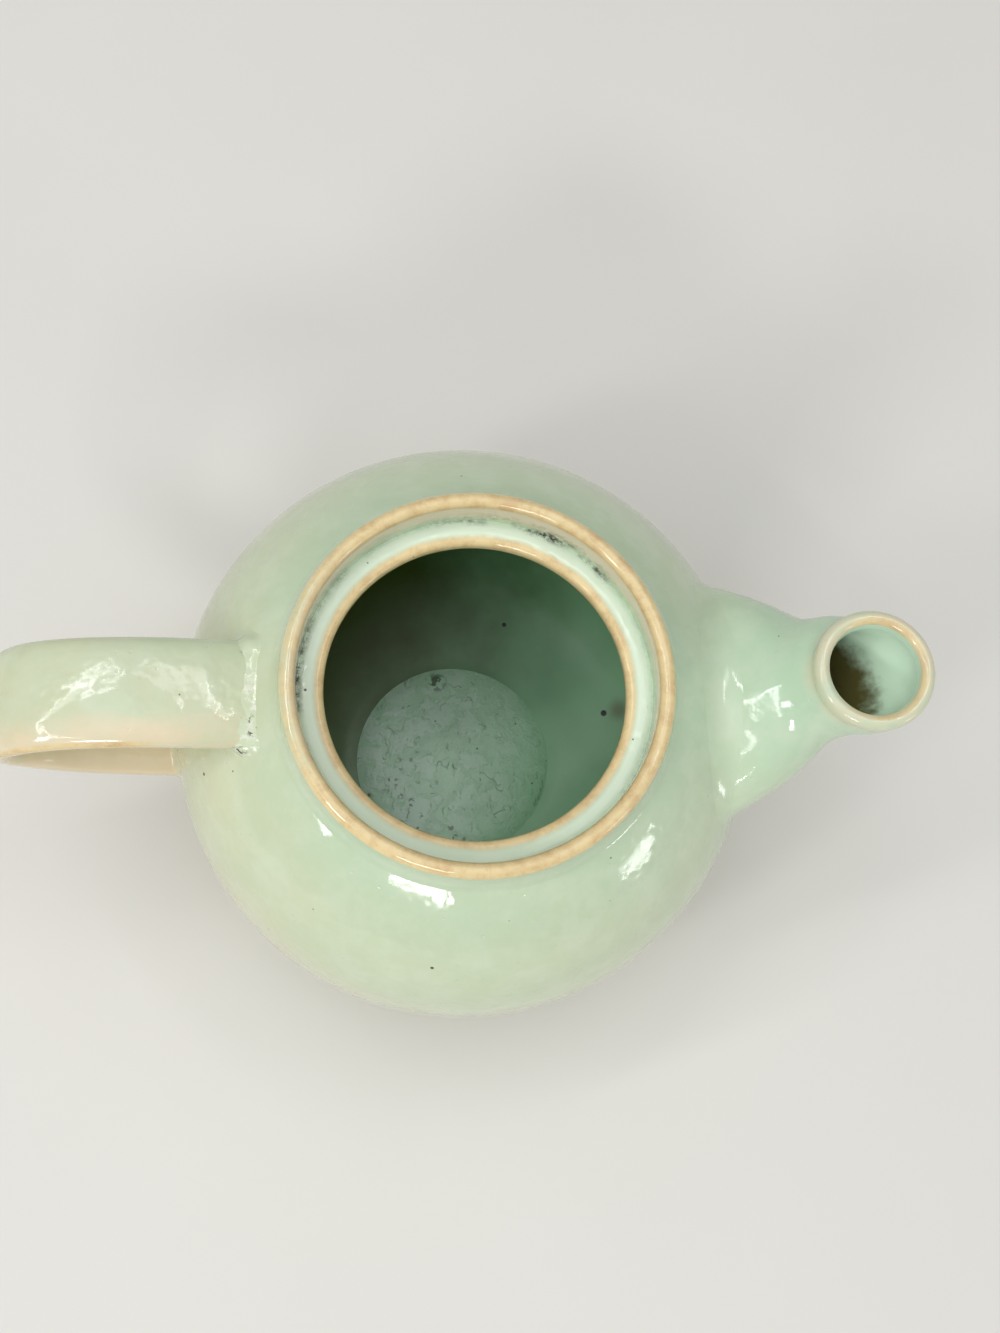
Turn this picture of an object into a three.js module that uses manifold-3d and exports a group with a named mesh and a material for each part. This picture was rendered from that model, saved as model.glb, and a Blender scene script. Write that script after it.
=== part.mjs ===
// A small celadon teapot in stoneware, without its lid, as the pieces of clay that a potter
// throws, pulls and lutes together before the firing. Millimetres, +Z up. The origin is on the
// table under the middle of the foot, +X points to the spout and -X to the handle.
import * as THREE from 'three';
import { mergeVertices } from 'three/addons/utils/BufferGeometryUtils.js';
import Module from 'manifold-3d';

const wasm = await Module();
wasm.setup();

// Clearances between pieces
const LUTING_GAP = 0.3;         // slip line left between two luted pieces
const CUT_OVERRUN = 6;          // how far a cutter runs past what it cuts

// Body
const BODY_RADIUS = 65;         // at the belly, the widest circle
const BELLY_HEIGHT = 42;        // height of that circle
const SHOULDER_RISE = 52;       // from the belly to the crown that the shoulder would close in
const SHOULDER_FULLNESS = 2.3;  // 2 is an ellipse, more is squarer
const UNDERSIDE_FULLNESS = 2.2;
const WALL = 4.5;
const FLOOR_THICKNESS = 4.2;
const FLOOR_RADIUS = 25.5;      // flat part of the floor inside

// Foot ring
const FOOT_HEIGHT = 3;
const FOOT_RADIUS = 34;
const FOOT_WIDTH = 5.5;
const FOOT_CHAMFER = 0.8;

// Glaze that pooled on the floor
const POOL_DEPTH = 0.8;
const POOL_MARGIN = 1.3;        // from the pool's edge to the edge of the flat floor

// Gallery: a ledge that a lid would rest on, and the collar that stands round it
const COLLAR_RADIUS = 40.8;
const COLLAR_THICKNESS = 3.4;
const COLLAR_TOP = 90.5;        // height of the crest
const COLLAR_ROUNDING = 1.5;
const LEDGE_TOP = 81.8;         // height of the flat seat
const LEDGE_THICKNESS = 3.8;
const LEDGE_STEP = 0.6;         // how much lower the ledge is where the collar stands on it
const OPENING_RADIUS = 31.8;
const LEDGE_ROUNDING = 1.5;

// Spout
const SPOUT_START = new THREE.Vector2(46, 60);   // x, z of its widest line, inside the body
const SPOUT_ROOT_TILT = 30;     // degrees from level
const SPOUT_ROOT_HALF_WIDTH = 29.5;
const SPOUT_ROOT_ABOVE = 12.5;  // from the widest line to the ridge
const SPOUT_ROOT_BELOW = 20;    // from the widest line to the underside
const SPOUT_WAIST_SHARE = 0.55; // share of the way at which the waist is measured
const SPOUT_WAIST_SAG = 1.6;    // how far the widest line hangs under a straight one
const SPOUT_WAIST_ABOVE = 10;
const SPOUT_CONE_FULLNESS = 1.5; // more keeps the cone wide for longer
const SPOUT_CONE_EASE = 2;      // more runs the cone out into the neck more softly
const SPOUT_TURN_UP = 3.1;      // more leaves the turn to the upright for the neck
const SPOUT_FLANK_SWELL = 1.2;  // how much fuller each flank is halfway
const SPOUT_THROAT_SHARE = 0.71; // share of the way at which the throat under the lip is narrowest
const SPOUT_THROAT_SPREAD = 0.13;
const SPOUT_THROAT_DEPTH = 2.1; // how much each flank draws in there
const SPOUT_THROAT_UPRIGHT = 0.6; // the same over and under the widest line, as a share of that
const SPOUT_NECK_RADIUS = 12.8;
const SPOUT_WALL = 3.3;
const MOUTH_REACH = 82.7;       // from the pot's axis to the middle of the mouth
const MOUTH_HEIGHT = 92.3;      // top of the lip
const LIP_HEIGHT = 4.4;
const LIP_RADIUS = 12.9;
const LIP_BORE_RADIUS = 9.7;

// Clay smoothed round the spout's root
const SPOUT_JOIN_FLARE = 0.7;
const SPOUT_JOIN_EDGE = 0.7;
const SPOUT_JOIN_LENGTH = 8;

// Pierced patch of wall behind the spout
const STRAINER_RADIUS = 11.5;
const STRAINER_HEIGHT = 66;     // height of its middle on the outer wall
const STRAINER_HOLE_RADIUS = 1.8;
const STRAINER_PITCH = 6.6;
const STRAINER_OUTER_HOLES = 6;

// Handle: a pulled strap, given by its middle line
const HANDLE_REACH = 100;       // from the pot's axis to the far side of the loop
const HANDLE_FAR_HEIGHT = 65;   // height of that far point
const HANDLE_UPPER_SEAT = 49;   // distance from the axis at which the strap meets the shoulder
const HANDLE_UPPER_RISE = 18;   // degrees from level at the upper seat
const HANDLE_UPPER_ARM = 32;
const HANDLE_UPPER_BEND = 21;
const HANDLE_LOWER_SEAT = 42;   // height at which the strap meets the belly
const HANDLE_LOWER_RISE = 12;
const HANDLE_LOWER_ARM = 20;
const HANDLE_LOWER_BEND = 16;
const HANDLE_SEAT_DEPTH = 3;    // how far the middle line runs into the body before it is cut
const HANDLE_THICKNESS = 7;
const HANDLE_TOP_HALF_WIDTH = 11.5;
const HANDLE_LOW_HALF_WIDTH = 8.6;
const HANDLE_NARROWS_FROM = 0.42; // share of the way at which the strap begins to narrow
const HANDLE_NARROWS_TO = 0.7;
const HANDLE_SQUARENESS = 2.6;  // 2 is an ellipse, more is squarer

// Clay pressed round the handle's two ends
const HANDLE_JOIN_FLARE = 0.7;
const HANDLE_JOIN_EDGE = 0.9;
const HANDLE_JOIN_LENGTH = 4;

// Facets
const BODY_SIDES = 48;
const CURVE_STEPS = 7;
const SPOUT_SIDES = 24;
const SPOUT_STEPS = 14;
const STRAP_SIDES = 16;
const STRAP_STEPS = 18;
const HOLE_SIDES = 10;
const ROUND_STEPS = 3;
const SEARCH_STEPS = 200;       // samples of a line when its way out of the body is sought

// Finishes
const GLAZE = { color: 0xb9cbb0, roughness: 0.12, metalness: 0 };
const GLAZE_THIN = { color: 0xcfb283, roughness: 0.2, metalness: 0 };
const GLAZE_DEEP = { color: 0x86a087, roughness: 0.1, metalness: 0 };
const BARE_CLAY = { color: 0xa98f72, roughness: 0.85, metalness: 0 };

// Heights and radii that follow
const BASE = FOOT_HEIGHT + LUTING_GAP;
const FLOOR = BASE + FLOOR_THICKNESS;
const DEG = Math.PI / 180;
const UPRIGHT = 90;

// A rounded quarter: how far along one half-axis the curve is when it is `across` along the other.
function quarter(across, halfAxis, otherHalfAxis, fullness) {
  const share = Math.min(Math.abs(across / halfAxis), 1);
  return otherHalfAxis * (1 - share ** fullness) ** (1 / fullness);
}

// The half-height of a quarter that passes through the point (radius, drop).
function halfAxisThrough(radius, drop, halfAxis, fullness) {
  return drop / quarter(radius, halfAxis, 1, fullness);
}

const UNDERSIDE_DROP = halfAxisThrough(FOOT_RADIUS, BELLY_HEIGHT - BASE, BODY_RADIUS, UNDERSIDE_FULLNESS);

function shoulderHeight(radius) {
  return BELLY_HEIGHT + quarter(radius, BODY_RADIUS, SHOULDER_RISE, SHOULDER_FULLNESS);
}

function bodyRadiusAt(height) {
  return height > BELLY_HEIGHT
    ? quarter(height - BELLY_HEIGHT, SHOULDER_RISE, BODY_RADIUS, SHOULDER_FULLNESS)
    : quarter(BELLY_HEIGHT - height, UNDERSIDE_DROP, BODY_RADIUS, UNDERSIDE_FULLNESS);
}

// Points of a quarter from radius `fromRadius` to `toRadius`, as x and height over the belly.
function quarterPoints(halfAxis, rise, fullness, fromRadius, toRadius, steps) {
  const angleOf = (radius) => Math.acos(Math.min((radius / halfAxis) ** (fullness / 2), 1));
  const points = [];
  for (let i = 0; i <= steps; i += 1) {
    const angle = THREE.MathUtils.lerp(angleOf(fromRadius), angleOf(toRadius), i / steps);
    const radius = halfAxis * Math.cos(angle) ** (2 / fullness);
    const height = BELLY_HEIGHT + rise * Math.sin(angle) ** (2 / fullness);
    points.push(new THREE.Vector2(radius, height));
  }
  return points;
}

// Shapes to solids and back

function toSolid(geometry) {
  const bare = geometry.clone();
  bare.deleteAttribute('normal');
  bare.deleteAttribute('uv');
  const merged = mergeVertices(bare, 1e-4);
  const position = merged.attributes.position.array;
  const corners = [];
  let volume = 0;
  const at = (i) => new THREE.Vector3().fromArray(position, 3 * i);
  for (let i = 0; i < merged.index.count; i += 3) {
    const [a, b, c] = merged.index.array.slice(i, i + 3);
    if (a === b || b === c || c === a) continue;
    corners.push([a, b, c]);
    volume += at(a).dot(at(b).cross(at(c)));
  }
  const outward = volume > 0 ? corners : corners.map(([a, b, c]) => [a, c, b]);
  return new wasm.Manifold(new wasm.Mesh({
    numProp: 3,
    vertProperties: new Float32Array(position),
    triVerts: new Uint32Array(outward.flat()),
  }));
}

function toPiece(name, solid, finish) {
  const { vertProperties, triVerts, numProp } = solid.getMesh();
  const geometry = new THREE.BufferGeometry();
  const position = new Float32Array((vertProperties.length / numProp) * 3);
  for (let i = 0; i < position.length / 3; i += 1) {
    position.set(vertProperties.subarray(i * numProp, i * numProp + 3), i * 3);
  }
  geometry.setAttribute('position', new THREE.BufferAttribute(position, 3));
  geometry.setIndex(new THREE.BufferAttribute(new Uint32Array(triVerts), 1));
  geometry.computeVertexNormals();
  const piece = new THREE.Mesh(geometry, new THREE.MeshStandardMaterial(finish));
  piece.name = name;
  return piece;
}

// A turned solid. The profile holds radius and height, and starts and ends on the axis, or is
// closed on itself here when it stays clear of the axis.
function turned(profile, sides, x = 0) {
  const closed = profile[0].x > 0 ? [...profile, profile[0]] : profile;
  const geometry = new THREE.LatheGeometry(closed, sides);
  geometry.rotateX(Math.PI / 2);
  geometry.translate(x, 0, 0);
  return toSolid(geometry);
}

// A skin through rings of points, closed by a flat cap at each end.
function lofted(rings) {
  const sides = rings[0].length;
  const position = rings.flat().flatMap((point) => point.toArray());
  const index = [];
  for (let ring = 0; ring < rings.length - 1; ring += 1) {
    for (let side = 0; side < sides; side += 1) {
      const next = (side + 1) % sides;
      const [a, b] = [ring * sides + side, ring * sides + next];
      index.push(a, b, b + sides, a, b + sides, a + sides);
    }
  }
  const cap = (ring, flip) => {
    const middle = rings[ring].reduce((sum, point) => sum.add(point), new THREE.Vector3());
    const hub = position.length / 3;
    position.push(...middle.divideScalar(sides).toArray());
    for (let side = 0; side < sides; side += 1) {
      const [a, b] = [ring * sides + side, ring * sides + ((side + 1) % sides)];
      index.push(...(flip ? [hub, b, a] : [hub, a, b]));
    }
  };
  cap(0, true);
  cap(rings.length - 1, false);
  const geometry = new THREE.BufferGeometry();
  geometry.setAttribute('position', new THREE.Float32BufferAttribute(position, 3));
  geometry.setIndex(index);
  return toSolid(geometry);
}

// The corner of a profile rounded as a quarter circle, from one angle to another in degrees.
function rounded(x, height, radius, fromAngle, toAngle) {
  const points = [];
  for (let i = 0; i <= ROUND_STEPS; i += 1) {
    const angle = THREE.MathUtils.lerp(fromAngle, toAngle, i / ROUND_STEPS) * DEG;
    points.push(new THREE.Vector2(x + radius * Math.cos(angle), height + radius * Math.sin(angle)));
  }
  return points;
}

// Body

// The outside of the body, grown by `gap`, closed at the crown: what the luted pieces are cut by.
function bodyOutside(gap) {
  const shoulder = quarterPoints(
    BODY_RADIUS + gap, SHOULDER_RISE + gap, SHOULDER_FULLNESS, BODY_RADIUS + gap, 0, 2 * CURVE_STEPS,
  );
  const underside = quarterPoints(
    BODY_RADIUS + gap, -UNDERSIDE_DROP - gap, UNDERSIDE_FULLNESS, FOOT_RADIUS, BODY_RADIUS + gap, CURVE_STEPS,
  );
  const bottom = new THREE.Vector2(0, underside[0].y);
  return turned([bottom, ...underside.slice(0, -1), ...shoulder], BODY_SIDES);
}

function bodyShell() {
  const rim = COLLAR_RADIUS + LUTING_GAP;
  const innerRadius = BODY_RADIUS - WALL;
  const innerRise = SHOULDER_RISE - WALL;
  const innerDrop = halfAxisThrough(FLOOR_RADIUS, BELLY_HEIGHT - FLOOR, innerRadius, UNDERSIDE_FULLNESS);
  const profile = [
    new THREE.Vector2(0, BASE),
    ...quarterPoints(BODY_RADIUS, -UNDERSIDE_DROP, UNDERSIDE_FULLNESS, FOOT_RADIUS, BODY_RADIUS, CURVE_STEPS),
    ...quarterPoints(BODY_RADIUS, SHOULDER_RISE, SHOULDER_FULLNESS, BODY_RADIUS, rim, CURVE_STEPS).slice(1),
    ...quarterPoints(innerRadius, innerRise, SHOULDER_FULLNESS, rim, innerRadius, CURVE_STEPS),
    ...quarterPoints(
      innerRadius, -innerDrop, UNDERSIDE_FULLNESS, innerRadius, FLOOR_RADIUS, CURVE_STEPS,
    ).slice(1),
    new THREE.Vector2(0, FLOOR),
  ];
  return turned(profile, BODY_SIDES);
}

// Foot ring and glaze pool

function footRing() {
  const inner = FOOT_RADIUS - FOOT_WIDTH;
  return turned([
    new THREE.Vector2(inner + FOOT_CHAMFER, 0),
    new THREE.Vector2(FOOT_RADIUS - FOOT_CHAMFER, 0),
    new THREE.Vector2(FOOT_RADIUS, FOOT_CHAMFER),
    new THREE.Vector2(FOOT_RADIUS, FOOT_HEIGHT),
    new THREE.Vector2(inner, FOOT_HEIGHT),
    new THREE.Vector2(inner, FOOT_CHAMFER),
  ], BODY_SIDES);
}

function glazePool() {
  const bottom = FLOOR + LUTING_GAP;
  const radius = FLOOR_RADIUS - POOL_MARGIN;
  return turned([
    new THREE.Vector2(0, bottom),
    new THREE.Vector2(radius, bottom),
    new THREE.Vector2(radius - POOL_DEPTH / 2, bottom + POOL_DEPTH),
    new THREE.Vector2(0, bottom + POOL_DEPTH),
  ], BODY_SIDES);
}

// Gallery

function lidLedge() {
  const bottom = LEDGE_TOP - LEDGE_THICKNESS;
  const seatEdge = COLLAR_RADIUS - COLLAR_THICKNESS - LUTING_GAP;
  return turned([
    new THREE.Vector2(OPENING_RADIUS + LEDGE_ROUNDING, bottom),
    new THREE.Vector2(COLLAR_RADIUS, bottom),
    new THREE.Vector2(COLLAR_RADIUS, LEDGE_TOP - LEDGE_STEP),
    new THREE.Vector2(seatEdge, LEDGE_TOP - LEDGE_STEP),
    new THREE.Vector2(seatEdge, LEDGE_TOP),
    ...rounded(OPENING_RADIUS + LEDGE_ROUNDING, LEDGE_TOP - LEDGE_ROUNDING, LEDGE_ROUNDING, 90, 180),
    new THREE.Vector2(OPENING_RADIUS, bottom + LEDGE_ROUNDING / 2),
  ], BODY_SIDES);
}

function collar() {
  const bottom = LEDGE_TOP - LEDGE_STEP + LUTING_GAP;
  const inner = COLLAR_RADIUS - COLLAR_THICKNESS;
  const shoulderOfCrest = COLLAR_TOP - COLLAR_ROUNDING;
  return turned([
    new THREE.Vector2(inner, bottom),
    new THREE.Vector2(COLLAR_RADIUS, bottom),
    ...rounded(COLLAR_RADIUS - COLLAR_ROUNDING, shoulderOfCrest, COLLAR_ROUNDING, 0, 90),
    ...rounded(inner + COLLAR_ROUNDING, shoulderOfCrest, COLLAR_ROUNDING, 90, 180),
  ], BODY_SIDES);
}

// Spout

const NECK_TOP = MOUTH_HEIGHT - LIP_HEIGHT - LUTING_GAP;
const SPOUT_END = new THREE.Vector2(MOUTH_REACH, NECK_TOP);

// The spout's widest line, as x and z.
function spoutLine(share) {
  const sag = SPOUT_WAIST_SAG * Math.sin(Math.PI * share);
  const point = SPOUT_START.clone().lerp(SPOUT_END, share);
  return point.setY(point.y - sag);
}

// Half-width, height over the widest line and depth under it. The root narrows fast, the neck hardly.
function spoutSection(share) {
  const cone = (1 - share ** SPOUT_CONE_FULLNESS) ** SPOUT_CONE_EASE;
  const toNeck = (root) => SPOUT_NECK_RADIUS + (root - SPOUT_NECK_RADIUS) * cone;
  const throatOffset = (share - SPOUT_THROAT_SHARE) / SPOUT_THROAT_SPREAD;
  const throat = SPOUT_THROAT_DEPTH * Math.exp(-(throatOffset ** 2));
  const upright = (root) => toNeck(root) - SPOUT_THROAT_UPRIGHT * throat;
  const waist = SPOUT_WAIST_ABOVE - upright(SPOUT_ROOT_ABOVE);
  const hollow = Math.max(1 - ((share - SPOUT_WAIST_SHARE) / (1 - SPOUT_WAIST_SHARE)) ** 2, 0);
  return {
    halfWidth: toNeck(SPOUT_ROOT_HALF_WIDTH) + SPOUT_FLANK_SWELL * Math.sin(Math.PI * share) ** 2 - throat,
    above: upright(SPOUT_ROOT_ABOVE) + waist * hollow,
    below: upright(SPOUT_ROOT_BELOW),
    tilt: (SPOUT_ROOT_TILT + (UPRIGHT - SPOUT_ROOT_TILT) * share ** SPOUT_TURN_UP) * DEG,
  };
}

function spoutRing(share, grow) {
  const middle = spoutLine(share);
  const { halfWidth, above, below, tilt } = spoutSection(share);
  return Array.from({ length: SPOUT_SIDES }, (_, side) => {
    const angle = (side / SPOUT_SIDES) * 2 * Math.PI;
    const reach = (Math.sin(angle) > 0 ? above : below) + grow;
    const rise = reach * Math.sin(angle);
    return new THREE.Vector3(
      middle.x - Math.sin(tilt) * rise,
      (halfWidth + grow) * Math.cos(angle),
      middle.y + Math.cos(tilt) * rise,
    );
  });
}

function spoutLoft(fromShare, toShare, growAt, overrun = 0) {
  const rings = [];
  for (let i = 0; i <= SPOUT_STEPS; i += 1) {
    const share = THREE.MathUtils.lerp(fromShare, toShare, i / SPOUT_STEPS);
    rings.push(spoutRing(share, growAt(share)));
  }
  if (overrun > 0) {
    rings.push(rings.at(-1).map((point) => point.clone().setZ(point.z + overrun)));
  }
  return lofted(rings);
}

// The share of the way at which a line, given as x and z by share, leaves the body.
function exitShare(line) {
  for (let i = 0; i <= SEARCH_STEPS; i += 1) {
    const point = line(i / SEARCH_STEPS);
    if (Math.abs(point.x) > bodyRadiusAt(point.y)) return i / SEARCH_STEPS;
  }
  return 1;
}

function spout(bodyCutter) {
  const outside = spoutLoft(0, 1, () => 0);
  const bore = spoutLoft(0, 1, () => -SPOUT_WALL, CUT_OVERRUN);
  return outside.subtract(bore).subtract(bodyCutter);
}

function spoutJoin(bodyCutter) {
  const length = SPOUT_START.distanceTo(SPOUT_END);
  const root = exitShare(spoutLine);
  const tip = root + SPOUT_JOIN_LENGTH / length;
  const flareAt = (share) => {
    const left = THREE.MathUtils.clamp((tip - share) / (tip - root), 0, 1);
    return SPOUT_JOIN_EDGE + SPOUT_JOIN_FLARE * left ** 2;
  };
  const flared = spoutLoft(0, tip, flareAt);
  const core = spoutLoft(0, 1, () => LUTING_GAP);
  return flared.subtract(core).subtract(bodyCutter);
}

function spoutLip() {
  const bottom = MOUTH_HEIGHT - LIP_HEIGHT;
  const wall = LIP_RADIUS - LIP_BORE_RADIUS;
  const roll = wall / 2;
  return turned([
    new THREE.Vector2(LIP_BORE_RADIUS, bottom),
    new THREE.Vector2(SPOUT_NECK_RADIUS, bottom),
    ...rounded(LIP_RADIUS - roll, MOUTH_HEIGHT - roll, roll, 0, 90),
    ...rounded(LIP_BORE_RADIUS + roll, MOUTH_HEIGHT - roll, roll, 90, 180).slice(1),
  ], SPOUT_SIDES, MOUTH_REACH);
}

// Strainer

// A straight cutter square to the wall, through the middle of the strainer.
function strainerCutter(radius, sides, along = 0, across = 0) {
  const x = bodyRadiusAt(STRAINER_HEIGHT);
  const over = STRAINER_HEIGHT - BELLY_HEIGHT;
  const slopeAcross = (x / BODY_RADIUS) ** (SHOULDER_FULLNESS - 1) / BODY_RADIUS;
  const slopeUp = (over / SHOULDER_RISE) ** (SHOULDER_FULLNESS - 1) / SHOULDER_RISE;
  const geometry = new THREE.CylinderGeometry(radius, radius, 2 * (WALL + CUT_OVERRUN), sides);
  geometry.rotateZ(-Math.PI / 2);
  geometry.translate(0, across, along);
  geometry.rotateY(-Math.atan2(slopeUp, slopeAcross));
  geometry.translate(x, 0, STRAINER_HEIGHT);
  return toSolid(geometry);
}

function strainer(shell) {
  let patch = shell.intersect(strainerCutter(STRAINER_RADIUS, SPOUT_SIDES));
  patch = patch.subtract(strainerCutter(STRAINER_HOLE_RADIUS, HOLE_SIDES));
  for (let hole = 0; hole < STRAINER_OUTER_HOLES; hole += 1) {
    const angle = (hole / STRAINER_OUTER_HOLES) * 2 * Math.PI;
    const along = STRAINER_PITCH * Math.sin(angle);
    const across = STRAINER_PITCH * Math.cos(angle);
    patch = patch.subtract(strainerCutter(STRAINER_HOLE_RADIUS, HOLE_SIDES, along, across));
  }
  return patch;
}

// Handle

// The middle line from the shoulder round to the belly, as x and z.
function handleLine() {
  const arm = (from, degrees, length) => new THREE.Vector2(
    from.x - length * Math.cos(degrees * DEG), from.y + length * Math.sin(degrees * DEG),
  );
  const upper = new THREE.Vector2(
    -HANDLE_UPPER_SEAT + HANDLE_SEAT_DEPTH, shoulderHeight(HANDLE_UPPER_SEAT) - HANDLE_SEAT_DEPTH / 2,
  );
  const far = new THREE.Vector2(-HANDLE_REACH, HANDLE_FAR_HEIGHT);
  const lower = new THREE.Vector2(
    -bodyRadiusAt(HANDLE_LOWER_SEAT) + HANDLE_SEAT_DEPTH, HANDLE_LOWER_SEAT - HANDLE_SEAT_DEPTH / 2,
  );
  const above = far.clone().add(new THREE.Vector2(0, HANDLE_UPPER_BEND));
  const below = far.clone().add(new THREE.Vector2(0, -HANDLE_LOWER_BEND));
  const path = new THREE.CurvePath();
  path.add(new THREE.CubicBezierCurve(upper, arm(upper, HANDLE_UPPER_RISE, HANDLE_UPPER_ARM), above, far));
  path.add(new THREE.CubicBezierCurve(far, below, arm(lower, HANDLE_LOWER_RISE, HANDLE_LOWER_ARM), lower));
  return path;
}

function strapRing(line, share, grow) {
  const middle = line.getPointAt(share);
  const ahead = line.getTangentAt(share);
  const narrowed = THREE.MathUtils.smoothstep(share, HANDLE_NARROWS_FROM, HANDLE_NARROWS_TO);
  const halfWidth = THREE.MathUtils.lerp(HANDLE_TOP_HALF_WIDTH, HANDLE_LOW_HALF_WIDTH, narrowed) + grow;
  const halfThick = HANDLE_THICKNESS / 2 + grow;
  const power = 2 / HANDLE_SQUARENESS;
  const squared = (value) => Math.sign(value) * Math.abs(value) ** power;
  return Array.from({ length: STRAP_SIDES }, (_, side) => {
    const angle = (side / STRAP_SIDES) * 2 * Math.PI;
    const out = halfThick * squared(Math.sin(angle));
    return new THREE.Vector3(
      middle.x + ahead.y * out,
      halfWidth * squared(Math.cos(angle)),
      middle.y - ahead.x * out,
    );
  });
}

function strapLoft(line, fromShare, toShare, steps, growAt) {
  const rings = [];
  for (let i = 0; i <= steps; i += 1) {
    const share = THREE.MathUtils.lerp(fromShare, toShare, i / steps);
    rings.push(strapRing(line, share, growAt(share)));
  }
  return lofted(rings);
}

function handle(bodyCutter) {
  return strapLoft(handleLine(), 0, 1, STRAP_STEPS, () => 0).subtract(bodyCutter);
}

// Clay round one end of the strap: `end` is 0 at the shoulder and 1 at the belly.
function handleJoin(bodyCutter, end) {
  const line = handleLine();
  const fromEnd = (share) => (end === 0 ? share : 1 - share);
  const root = exitShare((share) => line.getPointAt(fromEnd(share)));
  const tip = root + HANDLE_JOIN_LENGTH / line.getLength();
  const flareAt = (share) => {
    const left = THREE.MathUtils.clamp((tip - fromEnd(share)) / (tip - root), 0, 1);
    return HANDLE_JOIN_EDGE + HANDLE_JOIN_FLARE * left ** 2;
  };
  const steps = STRAP_STEPS / 2;
  const flared = strapLoft(line, fromEnd(0), fromEnd(tip), steps, flareAt);
  const core = strapLoft(line, 0, 1, STRAP_STEPS, () => LUTING_GAP);
  return flared.subtract(core).subtract(bodyCutter);
}

// The pot

const shell = bodyShell();
const bodyCutter = bodyOutside(LUTING_GAP);
const strainerOpening = strainerCutter(STRAINER_RADIUS + LUTING_GAP, SPOUT_SIDES);

const teapot = new THREE.Group();
teapot.name = 'teapot';
teapot.add(
  toPiece('body', shell.subtract(strainerOpening), GLAZE),
  toPiece('foot_ring', footRing(), BARE_CLAY),
  toPiece('glaze_pool', glazePool(), GLAZE_DEEP),
  toPiece('lid_ledge', lidLedge(), GLAZE),
  toPiece('collar', collar(), GLAZE_THIN),
  toPiece('spout', spout(bodyCutter), GLAZE),
  toPiece('spout_lip', spoutLip(), GLAZE_THIN),
  toPiece('spout_join', spoutJoin(bodyCutter), GLAZE),
  toPiece('strainer', strainer(shell), GLAZE_DEEP),
  toPiece('handle', handle(bodyCutter), GLAZE),
  toPiece('handle_upper_join', handleJoin(bodyCutter, 0), GLAZE),
  toPiece('handle_lower_join', handleJoin(bodyCutter, 1), GLAZE),
);

export default teapot;
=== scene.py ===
# %% [markdown]
# A small celadon teapot in stoneware, seen from above without its lid. The measured pieces come
# from a CAD model. This file gives each piece a smoother form, a glaze, light and a camera.
# The frame is loaded first.

import math

import bmesh
import bpy
from mathutils import Matrix, Quaternion, Vector, noise


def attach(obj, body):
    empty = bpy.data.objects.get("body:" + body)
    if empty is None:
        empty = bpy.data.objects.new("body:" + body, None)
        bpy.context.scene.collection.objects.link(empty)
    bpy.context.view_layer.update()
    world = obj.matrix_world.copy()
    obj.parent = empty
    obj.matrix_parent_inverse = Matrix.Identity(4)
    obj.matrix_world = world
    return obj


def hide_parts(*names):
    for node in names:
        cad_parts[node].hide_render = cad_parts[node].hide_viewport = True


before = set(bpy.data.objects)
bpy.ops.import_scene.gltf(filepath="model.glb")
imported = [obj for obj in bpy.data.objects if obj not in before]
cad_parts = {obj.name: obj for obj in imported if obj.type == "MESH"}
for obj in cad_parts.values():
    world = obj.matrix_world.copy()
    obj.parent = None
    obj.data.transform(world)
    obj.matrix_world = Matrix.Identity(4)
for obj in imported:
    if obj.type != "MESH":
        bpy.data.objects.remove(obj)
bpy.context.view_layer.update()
MM = 0.001
bpy.ops.object.select_all(action="DESELECT")

# %% [markdown]
# The potter's measurements, in millimetres. The pot stands on z = 0, its turning axis is z, the
# spout points to +x and the handle to -x. Values that a few pieces share are named once here.

# %% Sizes of the pot
BODY_RADIUS = 65
BELLY_HEIGHT = 42
SHOULDER_RISE = 52
SHOULDER_FULLNESS = 2.3
UNDERSIDE_FULLNESS = 2.2
WALL = 4.5
BASE = 3.3
FLOOR = 7.5
FLOOR_RADIUS = 25.5
FOOT_RADIUS = 34
COLLAR_RADIUS = 40.8
COLLAR_INNER_RADIUS = 37.4
COLLAR_TOP = 90.5
LEDGE_TOP = 81.8
LEDGE_BOTTOM = 78
OPENING_RADIUS = 31.8
MOUTH_REACH = 82.7
MOUTH_HEIGHT = 92.3
NECK_TOP = 89.2
NECK_RADIUS = 12.8
LIP_RADIUS = 12.9
LIP_BORE_RADIUS = 9.7
SPOUT_WALL = 3.3
print("the belly is", 2 * BODY_RADIUS, "mm across and the spout's mouth", MOUTH_HEIGHT, "mm high")

# %% [markdown]
# A thrown body is fuller than an ellipse. A superellipse gives that with one number, its
# fullness. Drawing the curve by hand would work too, but then the spout and the handle, which
# must start exactly on the surface, would have nothing to be measured against.

# %% The body's curve
def quarter(across, half_axis, other_half_axis, fullness):
    share = min(abs(across / half_axis), 1)
    return other_half_axis * (1 - share**fullness) ** (1 / fullness)


UNDERSIDE_DROP = (BELLY_HEIGHT - BASE) / quarter(FOOT_RADIUS, BODY_RADIUS, 1, UNDERSIDE_FULLNESS)


def rise_between(value, low, high):
    """0 below low, 1 above high, and a soft rise between them."""
    share = min(max((value - low) / (high - low), 0), 1)
    return share * share * (3 - 2 * share)


def shoulder_height(radius):
    return BELLY_HEIGHT + quarter(radius, BODY_RADIUS, SHOULDER_RISE, SHOULDER_FULLNESS)


def body_radius_at(height):
    over = height - BELLY_HEIGHT
    if over > 0:
        return quarter(over, SHOULDER_RISE, BODY_RADIUS, SHOULDER_FULLNESS)
    return quarter(over, UNDERSIDE_DROP, BODY_RADIUS, UNDERSIDE_FULLNESS)


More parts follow.
